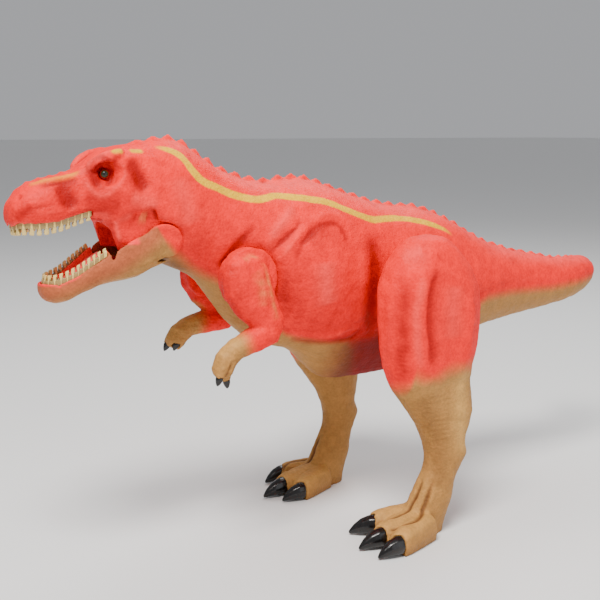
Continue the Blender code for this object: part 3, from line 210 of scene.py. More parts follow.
class Skin:  # a piece's points, normals and surface, in mm
    def __init__(self, piece):
        self.piece = piece
        self.refresh()

    def refresh(self):
        self.points = pointsOf(self.piece).astype(float)
        self.normals = normalsOf(self.piece).astype(float)
        faces = [tuple(face.vertices) for face in self.piece.data.polygons]
        self.tree = BVHTree.FromPolygons(self.points.tolist(), faces)

    def laid(self, line, side):
        found = []
        for point in line:
            if len(point) == 2:
                start = Vector((side * outside, point[0], point[1]))
                place, normal, _, _ = self.tree.ray_cast(start, Vector((-side, 0, 0)))
            else:
                place, normal, _, _ = self.tree.find_nearest(Vector((side * point[0], point[1], point[2])))
            if place is not None:
                found.append((tuple(place), tuple(normal)))
        return np.array(found).reshape(-1, 2, 3)

    def touch(self, path, radius, side=1, taper=0.3, sharp=2.0):  # 0 to 1, how strongly a stroke lands
        laid = self.laid(smoothLine(path), side)
        total = np.zeros(len(self.points))
        if not len(laid):
            return total
        line, facing = laid[:, 0], laid[:, 1]
        reach = strokeReach * radius
        near = ((self.points > line.min(0) - reach) & (self.points < line.max(0) + reach)).all(1)
        spots = self.points[near]
        if not len(spots):
            return total
        best = np.full(len(spots), 1e9)
        place = np.zeros(len(spots))
        turned = np.zeros(len(spots))
        for index in range(max(len(line) - 1, 1)):
            start = line[index]
            run = line[min(index + 1, len(line) - 1)] - start
            share = np.clip(((spots - start) @ run) / max(run @ run, 1e-9), 0, 1)
            far = np.linalg.norm(spots - start - share[:, None] * run, axis=1)
            closer = far < best
            best[closer] = far[closer]
            place[closer] = (index + share[closer]) / max(len(line) - 1, 1)
            turned[closer] = (self.normals[near] @ facing[index])[closer]
        strength = np.exp(-((best / radius) ** sharp)) * np.clip(turned * 3, 0, 1)
        if len(path) > 1 and taper:
            strength *= np.clip(np.minimum(place, 1 - place) / taper, 0, 1) ** 0.6
        total[near] = strength
        return total

    def both(self, path, radius, **how):  # the same stroke on the left and on the right
        return np.maximum(self.touch(path, radius, 1, **how), self.touch(path, radius, -1, **how))

    def relief(self, rounds):  # above 0 on raised spots, below 0 in hollows, in mm
        return ((self.points - smoothed(self.piece, self.points, rounds)) * self.normals).sum(1)

    def push(self, amounts):
        self.points = self.points + self.normals * amounts[:, None]
        setPoints(self.piece, self.points)


def wave(points, size, seed):  # a smooth, repeatable lumpiness between -1 and 1
    turns = np.random.default_rng(seed)
    total = np.zeros(len(points))
    for _ in range(14):
        way = turns.normal(size=3)
        way /= np.linalg.norm(way)
        total += np.sin(points @ way * (2 * pi / (size * turns.uniform(0.7, 1.6))) + turns.uniform(0, 6.28))
    return total / 5


def ramp(values, low, high):  # 0 below low, 1 above high, smooth between
    share = np.clip((values - low) / (high - low), 0, 1)
    return share * share * (3 - 2 * share)


def mixed(colours, mask, name):
    return colours + (np.array(paints[name]) - colours) * np.clip(mask, 0, 1)[:, None]


def plainCoat(count, name):
    return np.tile(np.array(paints[name], float), (count, 1))


def givePaint(piece, colours):
    layer = piece.data.color_attributes.new("paint", "FLOAT_COLOR", "POINT")
    full = np.ones((len(colours), 4), np.float32)
    full[:, :3] = np.clip(colours, 0, 1)
    layer.data.foreach_set("color", full.ravel())


def wrap(piece, body, nodeNames, material):
    piece.data.materials.clear()
    piece.data.materials.append(material)
    piece.data.shade_smooth()
    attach(piece, body)
    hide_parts(*nodeNames)


# Materials

noiseSpread = (0.3, 0.7)  # where nearly all of a noise's values lie
bumpDepth = 0.3  # mm


def newMaterial(name):
    material = bpy.data.materials.new(name)
    material.use_nodes = True
    tree = material.node_tree
    return material, tree, tree.nodes["Principled BSDF"]


def addNode(tree, kind, **settings):
    node = tree.nodes.new(kind)
    for name, value in settings.items():
        if name in node.inputs:
            node.inputs[name].default_value = value
        else:
            setattr(node, name, value)
    return node


def noiseNode(tree, scale, detail, place=None):
    node = addNode(tree, "ShaderNodeTexNoise")
    node.inputs["Scale"].default_value = scale
    node.inputs["Detail"].default_value = detail
    if place:
        tree.links.new(place.outputs["Object"], node.inputs["Vector"])
    return node


def rangeNode(tree, source, low, high, fromMin=0, fromMax=1):
    node = addNode(tree, "ShaderNodeMapRange")
    for name, value in (("From Min", fromMin), ("From Max", fromMax), ("To Min", low), ("To Max", high)):
        node.inputs[name].default_value = value
    tree.links.new(source.outputs["Fac"], node.inputs["Value"])
    return node


def paintedSurface(name, look):
    material, tree, shader = newMaterial(name)
    link = tree.links.new
    place = addNode(tree, "ShaderNodeTexCoord")
    coat = addNode(tree, "ShaderNodeAttribute", attribute_name="paint")
    mottle = noiseNode(tree, look["mottleScale"], 4, place)
    tone = rangeNode(tree, mottle, 1 - look["mottle"], 1 + look["mottle"], *noiseSpread)
    speckle = noiseNode(tree, look["grainScale"] / 2, 2, place)
    fine = rangeNode(tree, speckle, 1 - look["speckle"], 1 + look["speckle"], *noiseSpread)
    both = addNode(tree, "ShaderNodeMath", operation="MULTIPLY")
    link(tone.outputs["Result"], both.inputs[0])
    link(fine.outputs["Result"], both.inputs[1])
    tinted = addNode(tree, "ShaderNodeVectorMath", operation="SCALE")
    link(coat.outputs["Color"], tinted.inputs[0])
    link(both.outputs["Value"], tinted.inputs["Scale"])
    link(tinted.outputs["Vector"], shader.inputs["Base Color"])
    pebbles = addNode(tree, "ShaderNodeTexVoronoi")
    pebbles.inputs["Scale"].default_value = look["pebbleScale"]
    link(place.outputs["Object"], pebbles.inputs["Vector"])
    grain = noiseNode(tree, look["grainScale"], 3, place)
    height = addNode(tree, "ShaderNodeMath", operation="MULTIPLY_ADD")
    link(pebbles.outputs["Distance"], height.inputs[0])
    height.inputs[1].default_value = look["pebble"]
    link(grain.outputs["Fac"], height.inputs[2])
    bump = addNode(tree, "ShaderNodeBump")
    bump.inputs["Strength"].default_value = look["bump"]
    bump.inputs["Distance"].default_value = bumpDepth * mm
    link(height.outputs["Value"], bump.inputs["Height"])
    link(bump.outputs["Normal"], shader.inputs["Normal"])
    rough = rangeNode(tree, grain, look["roughness"] - 0.06, look["roughness"] + 0.08)
    link(rough.outputs["Result"], shader.inputs["Roughness"])
    shader.inputs["Specular IOR Level"].default_value = look["specular"]
    shader.inputs["Coat Weight"].default_value = look["coat"]
    shader.inputs["Coat Roughness"].default_value = 0.25
    return material


vinylLook = {
    "mottleScale": 230, "mottle": 0.1, "pebbleScale": 950, "pebble": -0.8,
    "grainScale": 1700, "speckle": 0.1, "bump": 0.7, "roughness": 0.52,
    "specular": 0.14, "coat": 0.0,
}
toothLook = {
    "mottleScale": 500, "mottle": 0.06, "pebbleScale": 900, "pebble": -0.3,
    "grainScale": 900, "speckle": 0.05, "bump": 0.15, "roughness": 0.34,
    "specular": 0.5, "coat": 0.1,
}
clawLook = {
    "mottleScale": 400, "mottle": 0.25, "pebbleScale": 700, "pebble": -0.3,
    "grainScale": 800, "speckle": 0.1, "bump": 0.12, "roughness": 0.24,
    "specular": 0.4, "coat": 0.15,
}
eyeLook = {
    "mottleScale": 1500, "mottle": 0.2, "pebbleScale": 1500, "pebble": -0.1,
    "grainScale": 900, "speckle": 0.1, "bump": 0.03, "roughness": 0.25,
    "specular": 0.35, "coat": 0.1,
}
fleshLook = {
    "mottleScale": 350, "mottle": 0.1, "pebbleScale": 900, "pebble": -0.6,
    "grainScale": 1300, "speckle": 0.06, "bump": 0.35, "roughness": 0.38,
    "specular": 0.5, "coat": 0.1,
}

# the skin takes its colour from the paint attribute: airbrushed red, tan and yellow, with painted shade and
# painted highlights
skinMaterial = paintedSurface("airbrushedVinylWithPaintedShade", vinylLook)
toothMaterial = paintedSurface("creamTeeth", toothLook)
clawMaterial = paintedSurface("glossBlackClaw", clawLook)
eyeMaterial = paintedSurface("glossEye", eyeLook)
fleshMaterial = paintedSurface("mouthFlesh", fleshLook)
print("materials ready")


# Body: head, neck, trunk and tail

body = {
    "voxel": 0.6,
    "trunkFrom": (-104, -92),  # the trunk's softer finish comes in between these places
    "trunkRounds": 90,
    "headRounds": 4,
    "cheekSoft": [(12, -117, 133), (12, -108, 135)],
    "cheekRadius": 6,
    "cheekRounds": 40,
    "lift": 0.35,  # gives back what the smoothing took off
    "bumpRadius": 1.0,
    "bumpHeight": 0.5,
    "lumpSize": 9,
    "lumpHeight": 0.16,
    "grainSize": 3.2,
    "grainHeight": 0.07,
    "sealDepth": 3.2,
    "sealPlace": 3.6,
    "boreSeals": [("hip_plug_left", 7.5), ("hip_plug_right", 7.5), ("shoulder_plug_left", 5.5),
                  ("shoulder_plug_right", 5.5)],
}

# name: (line, radius, height)
bodyStrokes = {
    "snoutRidge": ([(4, -150, 148), (4.4, -144, 149.6), (4.8, -139, 150.4), (5.4, -135, 151.4),
                    (6, -132, 152.6)], 1.2, 0.65),
    "underRidge": ([(6, -146, 147), (6.2, -141, 148.4), (6.6, -137, 149), (6.8, -133, 150)], 1.2, -0.6),
    "preorbital": ([(7, -140.5, 147.5), (8, -139, 145), (9, -137.6, 142), (9, -136, 139.6)], 3.1, -0.9),
    "snoutSide": ([(9, -150.5, 141.5), (8, -147, 144.5), (8, -144, 145.6), (8, -142, 146.6)], 2.1, 0.3),
    "aboveLip": ([(6, -155, 136), (8, -153.4, 138.4), (9, -150.6, 139.8), (9, -147, 140.4),
                  (9.5, -143, 141)], 1.1, -0.35),
    "lip": ([(7, -154, 136), (9, -149, 137.4), (10, -144, 138.4), (10, -139, 138.8),
             (10, -133, 139.4), (10, -127, 140)], 1.1, 0.4),
    "brow": ([(6.4, -132.5, 151.4), (7.2, -130, 153.4), (8, -128, 155.4), (8.8, -125, 157.6),
              (9.4, -121, 159)], 1.4, 1.0),
    "underBrow": ([(7.8, -130, 151), (8.6, -127.8, 153.4), (9.4, -125.4, 155.6)], 1.0, -0.5),
    "browRear": ([(9.4, -121, 159), (10.4, -117, 158), (11, -113.5, 157.6)], 1.5, 0.35),
    "socket": ([(10, -127, 151), (10, -124.5, 154)], 2.6, -1.1),
    "socketRear": ([(10.6, -123.6, 157), (10, -122.6, 154), (9.6, -122.2, 150),
                    (10.6, -123.6, 147)], 1.1, -0.6),
    "socketFront": ([(9.4, -128.6, 151.6), (9.6, -127.6, 148.6), (10.4, -126, 147)], 1.2, -0.45),
    "underEye": ([(8, -131.4, 149.6), (9, -130, 147), (10, -128, 144.6), (11, -125, 143.6),
                  (12, -122.4, 144.6), (13, -120, 148)], 1.2, 0.5),
    "behindEye": ([(11, -119, 157), (11, -119, 152), (12.6, -119.6, 148), (13, -119, 144)], 1.6, 0.4),
    "postorbital": ([(11, -114.4, 157), (13, -113.6, 153), (13, -112, 149),
                     (13, -109.6, 145.4)], 2.8, -0.85),
    "behindPostorbital": ([(12, -109.4, 156.6), (13, -108, 151), (14, -105.6, 145)], 1.8, 0.3),
    "cheek": ([(13.6, -115, 142), (14, -111, 141), (15, -107, 138.8)], 2.4, 0.35),
    "cheekPanel": ([(12, -113.4, 136.4), (12, -109, 135.4)], 1.9, 0.3),
    "cheekCrescent": ([(14, -109, 139.4), (13, -106.4, 136.8), (12, -105, 134)], 0.9, -0.6),
    "mouthCorner": ([(11, -121, 134.6), (11, -120.6, 131), (10.6, -119.6, 126.6)], 0.9, 0.4),
    "neckFold": ([(-98, 148), (-96, 140), (-95, 132)], 2.6, -0.15),
    "shoulderLine": ([(17, -65, 131), (16, -70, 127), (15, -73, 123), (14, -77, 119),
                      (11, -80, 115)], 1.5, -0.8),
    "ribRidgeA": ([(17, -48, 138), (17, -51, 135), (18, -54.6, 131.6), (18, -60, 126),
                   (18, -64, 121)], 1.9, 0.85),
    "ribGrooveA": ([(20, -47.4, 131.6), (20, -50.4, 128.8), (20, -54, 126), (19, -58, 122.6),
                    (18, -62, 118)], 1.4, -0.8),
    "ribRidgeB": ([(21, -45, 130.4), (21, -48, 127.2), (21, -51.4, 124), (20, -55, 120),
                   (18.6, -59, 115)], 1.6, 0.75),
    "ovalGroove": ([(22, -51, 115), (22, -49.4, 121), (22, -47, 125), (22, -43, 128.2),
                    (22, -38, 130.4), (22, -33, 130),
                    (23, -30, 126.4), (24, -28.2, 121)], 2.0, -0.65),
    "ovalRidge": ([(22, -45.4, 129.4), (21, -41, 132.4), (20, -35, 134.2), (21, -28.6, 132.4),
                   (22, -25, 127.6), (23, -22.4, 121)], 1.7, 0.6),
    "ovalLump": ([(26, -40, 116), (25.4, -38.8, 106), (23.6, -36.4, 98)], 3.4, 0.4),
    "ovalHollow": ([(18, -56, 109), (17.6, -53.6, 102), (17, -49.6, 96)], 3.6, -0.4),
    "flankRear": ([(23, -21.4, 121), (24, -21, 111), (23, -20, 102), (21, -19, 94),
                   (19, -20.4, 89)], 2.4, 0.5),
    "behindFlank": ([(23, -13.6, 124), (23, -14, 114), (22.6, -14, 104), (20, -13, 93),
                     (15, -11, 82)], 3.2, -0.7),
    "flankRim": ([(18, -54, 89.6), (14, -48, 87), (14, -44, 85.6), (16, -38, 84.4), (18, -30, 84.4),
                  (19, -24, 87), (20, -20, 91)], 1.3, 0.5),
    "underRim": ([(12, -48, 83.8), (13, -41, 82), (17, -31, 81.4), (16, -21, 82.4),
                  (17, -16, 85.4)], 1.1, -0.5),
}
snoutBumps = [(2.4, -149, 149), (2.2, -144.6, 150.4), (2.4, -140.4, 151), (2.6, -136, 152), (4, -131, 154)]

# name: (line, radius, share, paint), colour alone: mostly painted shade in hollows and creases and painted
# highlights on ridges
bodyShades = {
    "socket": ([(10.6, -123.4, 157), (10, -126, 153), (9.4, -128.6, 150), (10.6, -125.6, 146.8),
                (9.8, -122.6, 150),
                (10.6, -123.4, 157)], 1.2, 0.5, "deepRed"),
    "underRidge": ([(6, -147, 146.4), (6.2, -141, 148), (6.6, -137, 148.6),
                    (7, -133, 149.4)], 1.7, 0.6, "deepRed"),
    "preorbital": ([(7, -138.4, 148), (9, -137, 143.6), (9.6, -135.4, 139.8)], 4.0, 0.65, "deepRed"),
    "frontLip": ([(6, -155.6, 136), (8, -153, 138.6), (8.8, -150.6, 141)], 2.4, 0.65, "deepRed"),
    "cheekShade": ([(10, -132, 142), (11, -127, 141.4), (12, -119, 140)], 4.0, 0.6, "deepRed"),
    "underBrow": ([(7.6, -130.6, 151), (8.4, -128.4, 153.4), (9, -126, 155.8),
                   (10, -123.4, 157.6)], 1.3, 0.8, "deepRed"),
    "postorbital": ([(11, -114.4, 157), (13, -113.6, 153), (13, -111.6, 148),
                     (13, -109.6, 145)], 3.2, 0.6, "deepRed"),
    "behindFlank": ([(22, -13.6, 126), (23, -14, 114), (22.6, -14, 104), (20, -13, 93),
                     (15, -11, 80)], 4.6, 0.7, "deepRed"),
    "insideOval": ([(22, -45, 121), (22, -38, 127), (23, -32, 124)], 3.6, 0.3, "deepRed"),
    "besideArm": ([(18, -57, 113), (17.6, -53, 102), (16, -48, 95)], 4.2, 0.4, "deepRed"),
    "shoulderLine": ([(17, -66, 131), (16, -70, 127), (15, -73, 123), (14, -77, 119),
                      (11, -80, 115)], 1.8, 0.6, "deepRed"),
    "underRim": ([(12, -48, 83.8), (13, -41, 82.4), (17, -31, 82), (16, -21, 83),
                  (17, -16, 86)], 1.8, 0.6, "deepRed"),
    "flankPale": ([(26, -40, 116), (25.4, -38.8, 106), (23.6, -36.4, 98)], 4.2, 0.5, "palePink"),
    "ridgesPale": ([(18, -49, 137), (18, -54, 132), (18, -60, 126)], 2.2, 0.45, "palePink"),
    "neckPale": ([(14, -97, 150), (16, -95, 141), (16, -93, 132)], 4.0, 0.35, "palePink"),
    "cheekPale": ([(14, -116, 143), (14, -110, 141), (15, -106, 139)], 3.0, 0.4, "palePink"),
    "panelPale": ([(12, -112, 135.6), (12, -109, 135)], 2.0, 0.3, "paleTan"),
    "snoutPale": ([(9, -150.6, 141.5), (8, -146.6, 144.4), (8, -142, 146.4)], 2.2, 0.2, "palePink"),
    "browPale": ([(6.4, -132.5, 151.6), (8, -128, 155.6), (9.4, -121, 159)], 1.3, 0.7, "palePink"),
    "underEye": ([(8, -131.4, 149.6), (9, -130, 147), (10, -128, 144.6), (11, -125, 143.6),
                  (13, -120, 147)], 1.0, 0.35, "palePink"),
    "cornerPale": ([(11, -121, 134.6), (11, -120.6, 131), (10.6, -119.6, 126.6)], 0.9, 0.5, "palePink"),
    "socketFill": ([(10.6, -123.2, 157.4), (10, -124.6, 154), (9.8, -126, 151),
                    (10, -125.4, 147.6)], 2.4, 0.92, "deepRed"),
    "chestShadow": ([(5, -97, 120), (4, -90, 114)], 3.0, 0.6, "brown"),
}

yellowStripe = [(6, -104.5, 161), (8, -99, 160), (9.5, -95, 158), (11, -92.5, 155), (12.5, -90.5, 152),
                (13, -87, 148), (12, -80, 145), (12, -72, 142), (13, -64, 140.3), (13, -59, 141),
                (13, -53, 142), (15, -45, 140.5), (17, -33, 138), (18, -24, 135), (17, -16, 131.5),
                (16, -9, 130), (14, 0, 130.3), (13, 8, 129.8), (13, 17, 128), (14, 28, 125),
                (15, 36, 120.5)]
yellowDashes = [[(10.5, -120.5, 159.5), (10.5, -118, 159.5)], [(8.5, -112.5, 159.5),
                 (8.5, -109.5, 159.5)]]
bellyEdge = [(-106, 128), (-100, 123), (-95, 119.5), (-90, 115.5), (-85, 112.5), (-80, 110), (-75, 107),
             (-70, 104), (-65, 99.5), (-60, 94.5), (-55, 89), (-50, 85.8), (-45, 84), (-38, 82.5),
             (-30, 81.2),
             (-22, 80.6), (-17, 77), (-13, 66), (-9, 50), (22, 50), (32, 72), (42, 86), (55, 92.5),
             (70, 93.3),
             (100, 92.5), (130, 94), (160, 94.5)]


def sealBores(piece):  # closes the swivel bores, so that the hollow is a shell of its own
    shape = bmesh.new()
    shape.from_mesh(piece.data)
    for plugName, radius in body["boreSeals"]:
        low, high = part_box(plugName)
        centre = (low + high) / 2
        side = 1 if centre.x > 0 else -1
        inner = min(abs(low.x), abs(high.x))
        turn = Matrix.Rotation(pi / 2, 4, "Y")
        place = Vector((side * (inner + body["sealPlace"] * mm), centre.y, centre.z))
        bmesh.ops.create_cone(shape, cap_ends=True, segments=24, radius1=radius * mm, radius2=radius * mm,
                              depth=body["sealDepth"] * mm, matrix=Matrix.Translation(place) @ turn)
    shape.to_mesh(piece.data)
    shape.free()


def dressBody():
    piece = copyOfNode("body_shell", "bodySkin")
    sealBores(piece)
    remesh(piece, body["voxel"])
    largestShell(piece)
    points = pointsOf(piece)
    crestKeep = ramp(np.abs(points[:, 0]), 2.5, 6)
    crestKeep = np.maximum(crestKeep, ramp(-normalsOf(piece)[:, 2], -0.2, 0.2))
    trunk = ramp(points[:, 1], *body["trunkFrom"]) * crestKeep
    relax(piece, trunk, body["trunkRounds"])
    relax(piece, np.ones(len(points)), body["headRounds"])
    skin = Skin(piece)
    relax(piece, skin.both(body["cheekSoft"], body["cheekRadius"], taper=0), body["cheekRounds"])
    skin.refresh()
    skin.push(body["lift"] * ramp(skin.points[:, 1], *body["trunkFrom"]))
    raised = np.zeros(len(skin.points))
    for line, radius, height in bodyStrokes.values():
        raised += height * skin.both(line, radius, sharp=1.7)
    for spot in snoutBumps:
        raised += body["bumpHeight"] * skin.both([spot], body["bumpRadius"])
    onBody = ramp(skin.points[:, 1], -112, -95)
    raised += body["lumpHeight"] * wave(skin.points, body["lumpSize"], 3) * (0.3 + 0.7 * onBody)
    raised += body["grainHeight"] * wave(skin.points, body["grainSize"], 4)
    skin.push(raised)
    givePaint(piece, bodyPaint(skin, raised))
    wrap(piece, "body", ["body_shell"], skinMaterial)
    print("body dressed:", len(piece.data.polygons), "faces")


def bodyPaint(skin, raised):
    x, y, z = skin.points.T
    dips = skin.relief(12)
    coat = plainCoat(len(x), "red")
    # painted light: upward-facing skin and the trunk's top lighter as painted highlight, downward-facing skin
    # and the head's underside darker as painted shade
    coat = mixed(coat, 0.5 * ramp(skin.normals[:, 2], -0.3, 0.9), "pinkRed")
    coat = mixed(coat, 0.6 * ramp(skin.normals[:, 2], 0.45, 0.95) * ramp(y, -110, -90), "palePink")
    coat = mixed(coat, 0.25 * ramp(-skin.normals[:, 2], -0.2, 0.5), "deepRed")
    coat = mixed(coat, 0.22 * ramp(-y, 108, 124) * ramp(-skin.normals[:, 2], -0.6, -0.1), "deepRed")
    # painted highlights on raised strokes and bumps, painted shade in grooves and hollows
    coat = mixed(coat, 0.6 * ramp(raised, 0.1, 0.6), "pinkRed")
    coat = mixed(coat, 0.3 * ramp(raised, 0.35, 0.9), "palePink")
    coat = mixed(coat, 0.8 * ramp(-raised, 0.05, 0.55), "deepRed")
    coat = mixed(coat, 0.6 * ramp(-dips, 0.03, 0.2), "deepRed")
    coat = mixed(coat, 0.5 * ramp(dips, 0.08, 0.4), "palePink")
    coat = mixed(coat, 0.5 * ramp(y, 140, 158), "deepRed")
    along, levels = np.array(bellyEdge).T
    slope = np.interp(y, (along[1:] + along[:-1]) / 2, np.diff(levels) / np.diff(along))
    # How far below the edge line, measured across it
    edge = (np.interp(y, along, levels) - z) / np.hypot(1, slope)
    soft = np.interp(y, [-105, -80, -60, -24, -15, -7, 20, 60], [3.5, 2.5, 1.6, 1.6, 4.5, 4.5, 2.4, 3.2])
    under = ramp(edge, -soft, soft)
    under *= ramp(y, -112, -104)
    coat = mixed(coat, under, "tan")
    # painted shade: brown in the belly's hollows and under the throat and chest, dark maroon under the trunk
    # at the groin
    coat = mixed(coat, 0.35 * under * ramp(-raised, 0.05, 0.5), "brown")
    coat = mixed(coat, 0.5 * under * ramp(-y, 78, 92), "brown")
    coat = mixed(coat, 0.85 * ramp(y, -36, -14) * ramp(-y, -40, -10) * ramp(86 - z, 0, 8), "maroon")
    # painted shade and painted highlights along the bodyShades strokes
    for line, radius, share, paint in bodyShades.values():
        coat = mixed(coat, share * skin.both(line, radius, taper=0.15), paint)
    for line in yellowDashes:
        coat = mixed(coat, skin.both(line, 1.1, taper=0, sharp=4), "yellow")
    snoutLine = bodyStrokes["snoutRidge"][0]
    coat = mixed(coat, 0.75 * skin.both(snoutLine, 0.9, taper=0.2), "yellow")
    width = skin.both(yellowStripe, 1.75, taper=0.12, sharp=4)
    coat = mixed(coat, ramp(width, 0.25, 0.6), "yellow")
    inMouth = ramp(138 - z, -0.5, 0.8) * ramp(-skin.normals[:, 2], 0.2, 0.7) * ramp(-114 - y, 0, 3)
    coat = mixed(coat, inMouth, "gumPink")
    return coat


dressBody()


# Lower jaw

jaw = {"voxel": 0.45, "rounds": 8, "lumpHeight": 0.10}
jawTopLine = [(-119, 127), (-112, 130), (-106, 132.4)]


def dressJaw():
    piece = copyOfNode("lower_jaw", "jawSkin")
    remesh(piece, jaw["voxel"])
    relax(piece, np.ones(len(piece.data.vertices)), jaw["rounds"])
    skin = Skin(piece)
    raised = -0.35 * skin.both(jawTopLine, 0.8)
    raised += jaw["lumpHeight"] * wave(skin.points, 6, 8)
    skin.push(raised)
    x, y, z = skin.points.T
    coat = plainCoat(len(x), "tan")
    # painted light: upward-facing skin lighter as painted highlight, hollows brown as painted shade
    coat = mixed(coat, 0.25 * ramp(skin.normals[:, 2], 0, 0.9), "paleTan")
    coat = mixed(coat, 0.5 * ramp(-raised, 0.05, 0.35), "brown")
    edge = np.interp(y, [-122, -119, -106, -103, -96], [126, 127, 132, 127, 119])
    coat = mixed(coat, 0.9 * ramp(z - np.interp(y, [-146, -120, -104], [105, 115, 127]), -5, 4), "ruddyTan")
    soft = np.interp(y, [-106, -102], [0.8, 2.6])
    coat = mixed(coat, ramp(z - edge, -soft, soft), "red")
    # painted shade: a dark line in the groove along the jaw's top edge
    coat = mixed(coat, 0.8 * skin.both(jawTopLine, 0.8), "deepRed")
    gumLevel = np.interp(y, [-145, -140, -131, -125, -119], [113.4, 113.8, 118.2, 122.6, 126])
    inside = ramp(z - gumLevel, -0.6, 0.3) * ramp(-112 - y, 0, 2)
    floor = ramp(np.abs(x), 9.5, 8.5) * ramp(skin.normals[:, 2], 0.1, 0.4) * ramp(-108 - y, 0, 3)
    inside = np.maximum(inside, floor)
    coat = mixed(coat, inside, "gumPink")
    deep = ramp(gumLevel - z, 1.0, 3.0) * ramp(skin.normals[:, 2], 0.0, 0.5) * ramp(7 - np.abs(x), 0, 2)
    coat = mixed(coat, 0.8 * deep, "mouthRed")
    givePaint(piece, coat)
    wrap(piece, "jaw", ["lower_jaw"], skinMaterial)
    print("jaw dressed:", len(piece.data.polygons), "faces")


dressJaw()


# Legs and feet

leg = {"voxel": 0.55, "rounds": 26, "lumpSize": 7, "lumpHeight": 0.15, "grainSize": 3.2,
       "grainHeight": 0.06, "creaseRadius": 1.1, "creaseDepth": 0.95}
legStrokes = {
    "thighRidge": ([(47, -7.4, 114), (48, -9, 110.6), (49, -10.6, 105), (48, -12, 97),
                    (48, -11.6, 90), (48, -11, 82), (48, -9, 72)], 2.1, 0.7),
    "thighGroove": ([(49, -2, 113), (50, -5.6, 106), (51, -7.2, 99), (51, -7.2, 91), (50, -5.6, 82),
                     (49, -5, 74)], 1.4, -0.85),
    "behindGroove": ([(50, 4, 108), (51, 1.6, 98), (51, 1, 88)], 3.4, 0.3),
    "thighDark": ([(45, -14, 109), (45, -16, 99), (45, -16, 91), (45, -16, 83), (43.6, -16, 76),
                   (43, -15, 66)], 3.0, -0.35),
    "thighFront": ([(40, -17.5, 106), (40, -19.6, 92), (39, -20, 78)], 2.4, 0.3),
    "kneeFold": ([(36, -18, 63), (43, -13, 65), (47, -6, 67), (49, 6, 70)], 1.6, 0.2),
    "calf": ([(47, 13, 64), (47, 14, 56), (46, 12.6, 49)], 4.0, 0.35),
    "shinHollow": ([(46, 0, 56), (45, 3, 46), (44, 4, 36)], 2.6, -0.35),
    "instepInner": ([(38.4, -9, 13), (40, -4, 18), (40.6, -0.6, 25), (41, 2, 34)], 1.5, 0.35),
    "instepOuter": ([(47, -6, 13), (46, 0, 17), (45.4, 3.6, 25), (45, 6, 34)], 1.5, 0.35),
}
# painted shade beside the thigh's groove and ridge, painted highlights on the ridge, the thigh's top and its
# rear
legShades = {
    "besideGroove": ([(49, -2, 113), (50, -5, 106), (51, -6.4, 99), (51, -6.4, 91), (50, -4.6, 82),
                      (49, -4, 73)], 2.3, 0.6, "deepRed"),
    "besideRidge": ([(45, -14, 110), (45.4, -16, 99), (45, -16.4, 91), (44.6, -16.4, 83),
                     (43.4, -16.4, 75), (43, -15, 65)],
                    3.9, 0.5, "deepRed"),
    "ridgePale": ([(48, -9, 110), (49, -10.6, 104), (48, -12, 97), (48, -11.6, 90), (48, -11, 82),
                   (48, -9, 73)], 1.7, 0.5, "palePink"),
    "topPale": ([(40, -13, 116), (42, -10, 119), (44, -6, 120)], 4.0, 0.55, "palePink"),
    "rearPale": ([(50, 6, 106), (51, 5, 96), (50, 6, 84)], 4.5, 0.35, "palePink"),
}
toeCreases = [
    [(35, -20, 8), (39, -16, 10.5), (38.6, -9, 11.6), (38, -5, 14), (38.8, -2.6, 18), (38.4, 1, 24)],
    [(45, -21.5, 8), (46.4, -17, 9.6), (47.4, -10, 11), (43.8, -3.6, 12.6), (43.2, -0.8, 17),
     (43, 2.4, 24)],
]
# a painted highlight down the calf and painted shade down the shin
calfLight = [(47, 13, 66), (47, 13, 55), (46, 15, 44), (45, 17, 38)]
shinShade = [(46, -8, 60), (46, -3, 52), (44, 3, 42), (43.6, 5, 30), (44, 3, 21)]


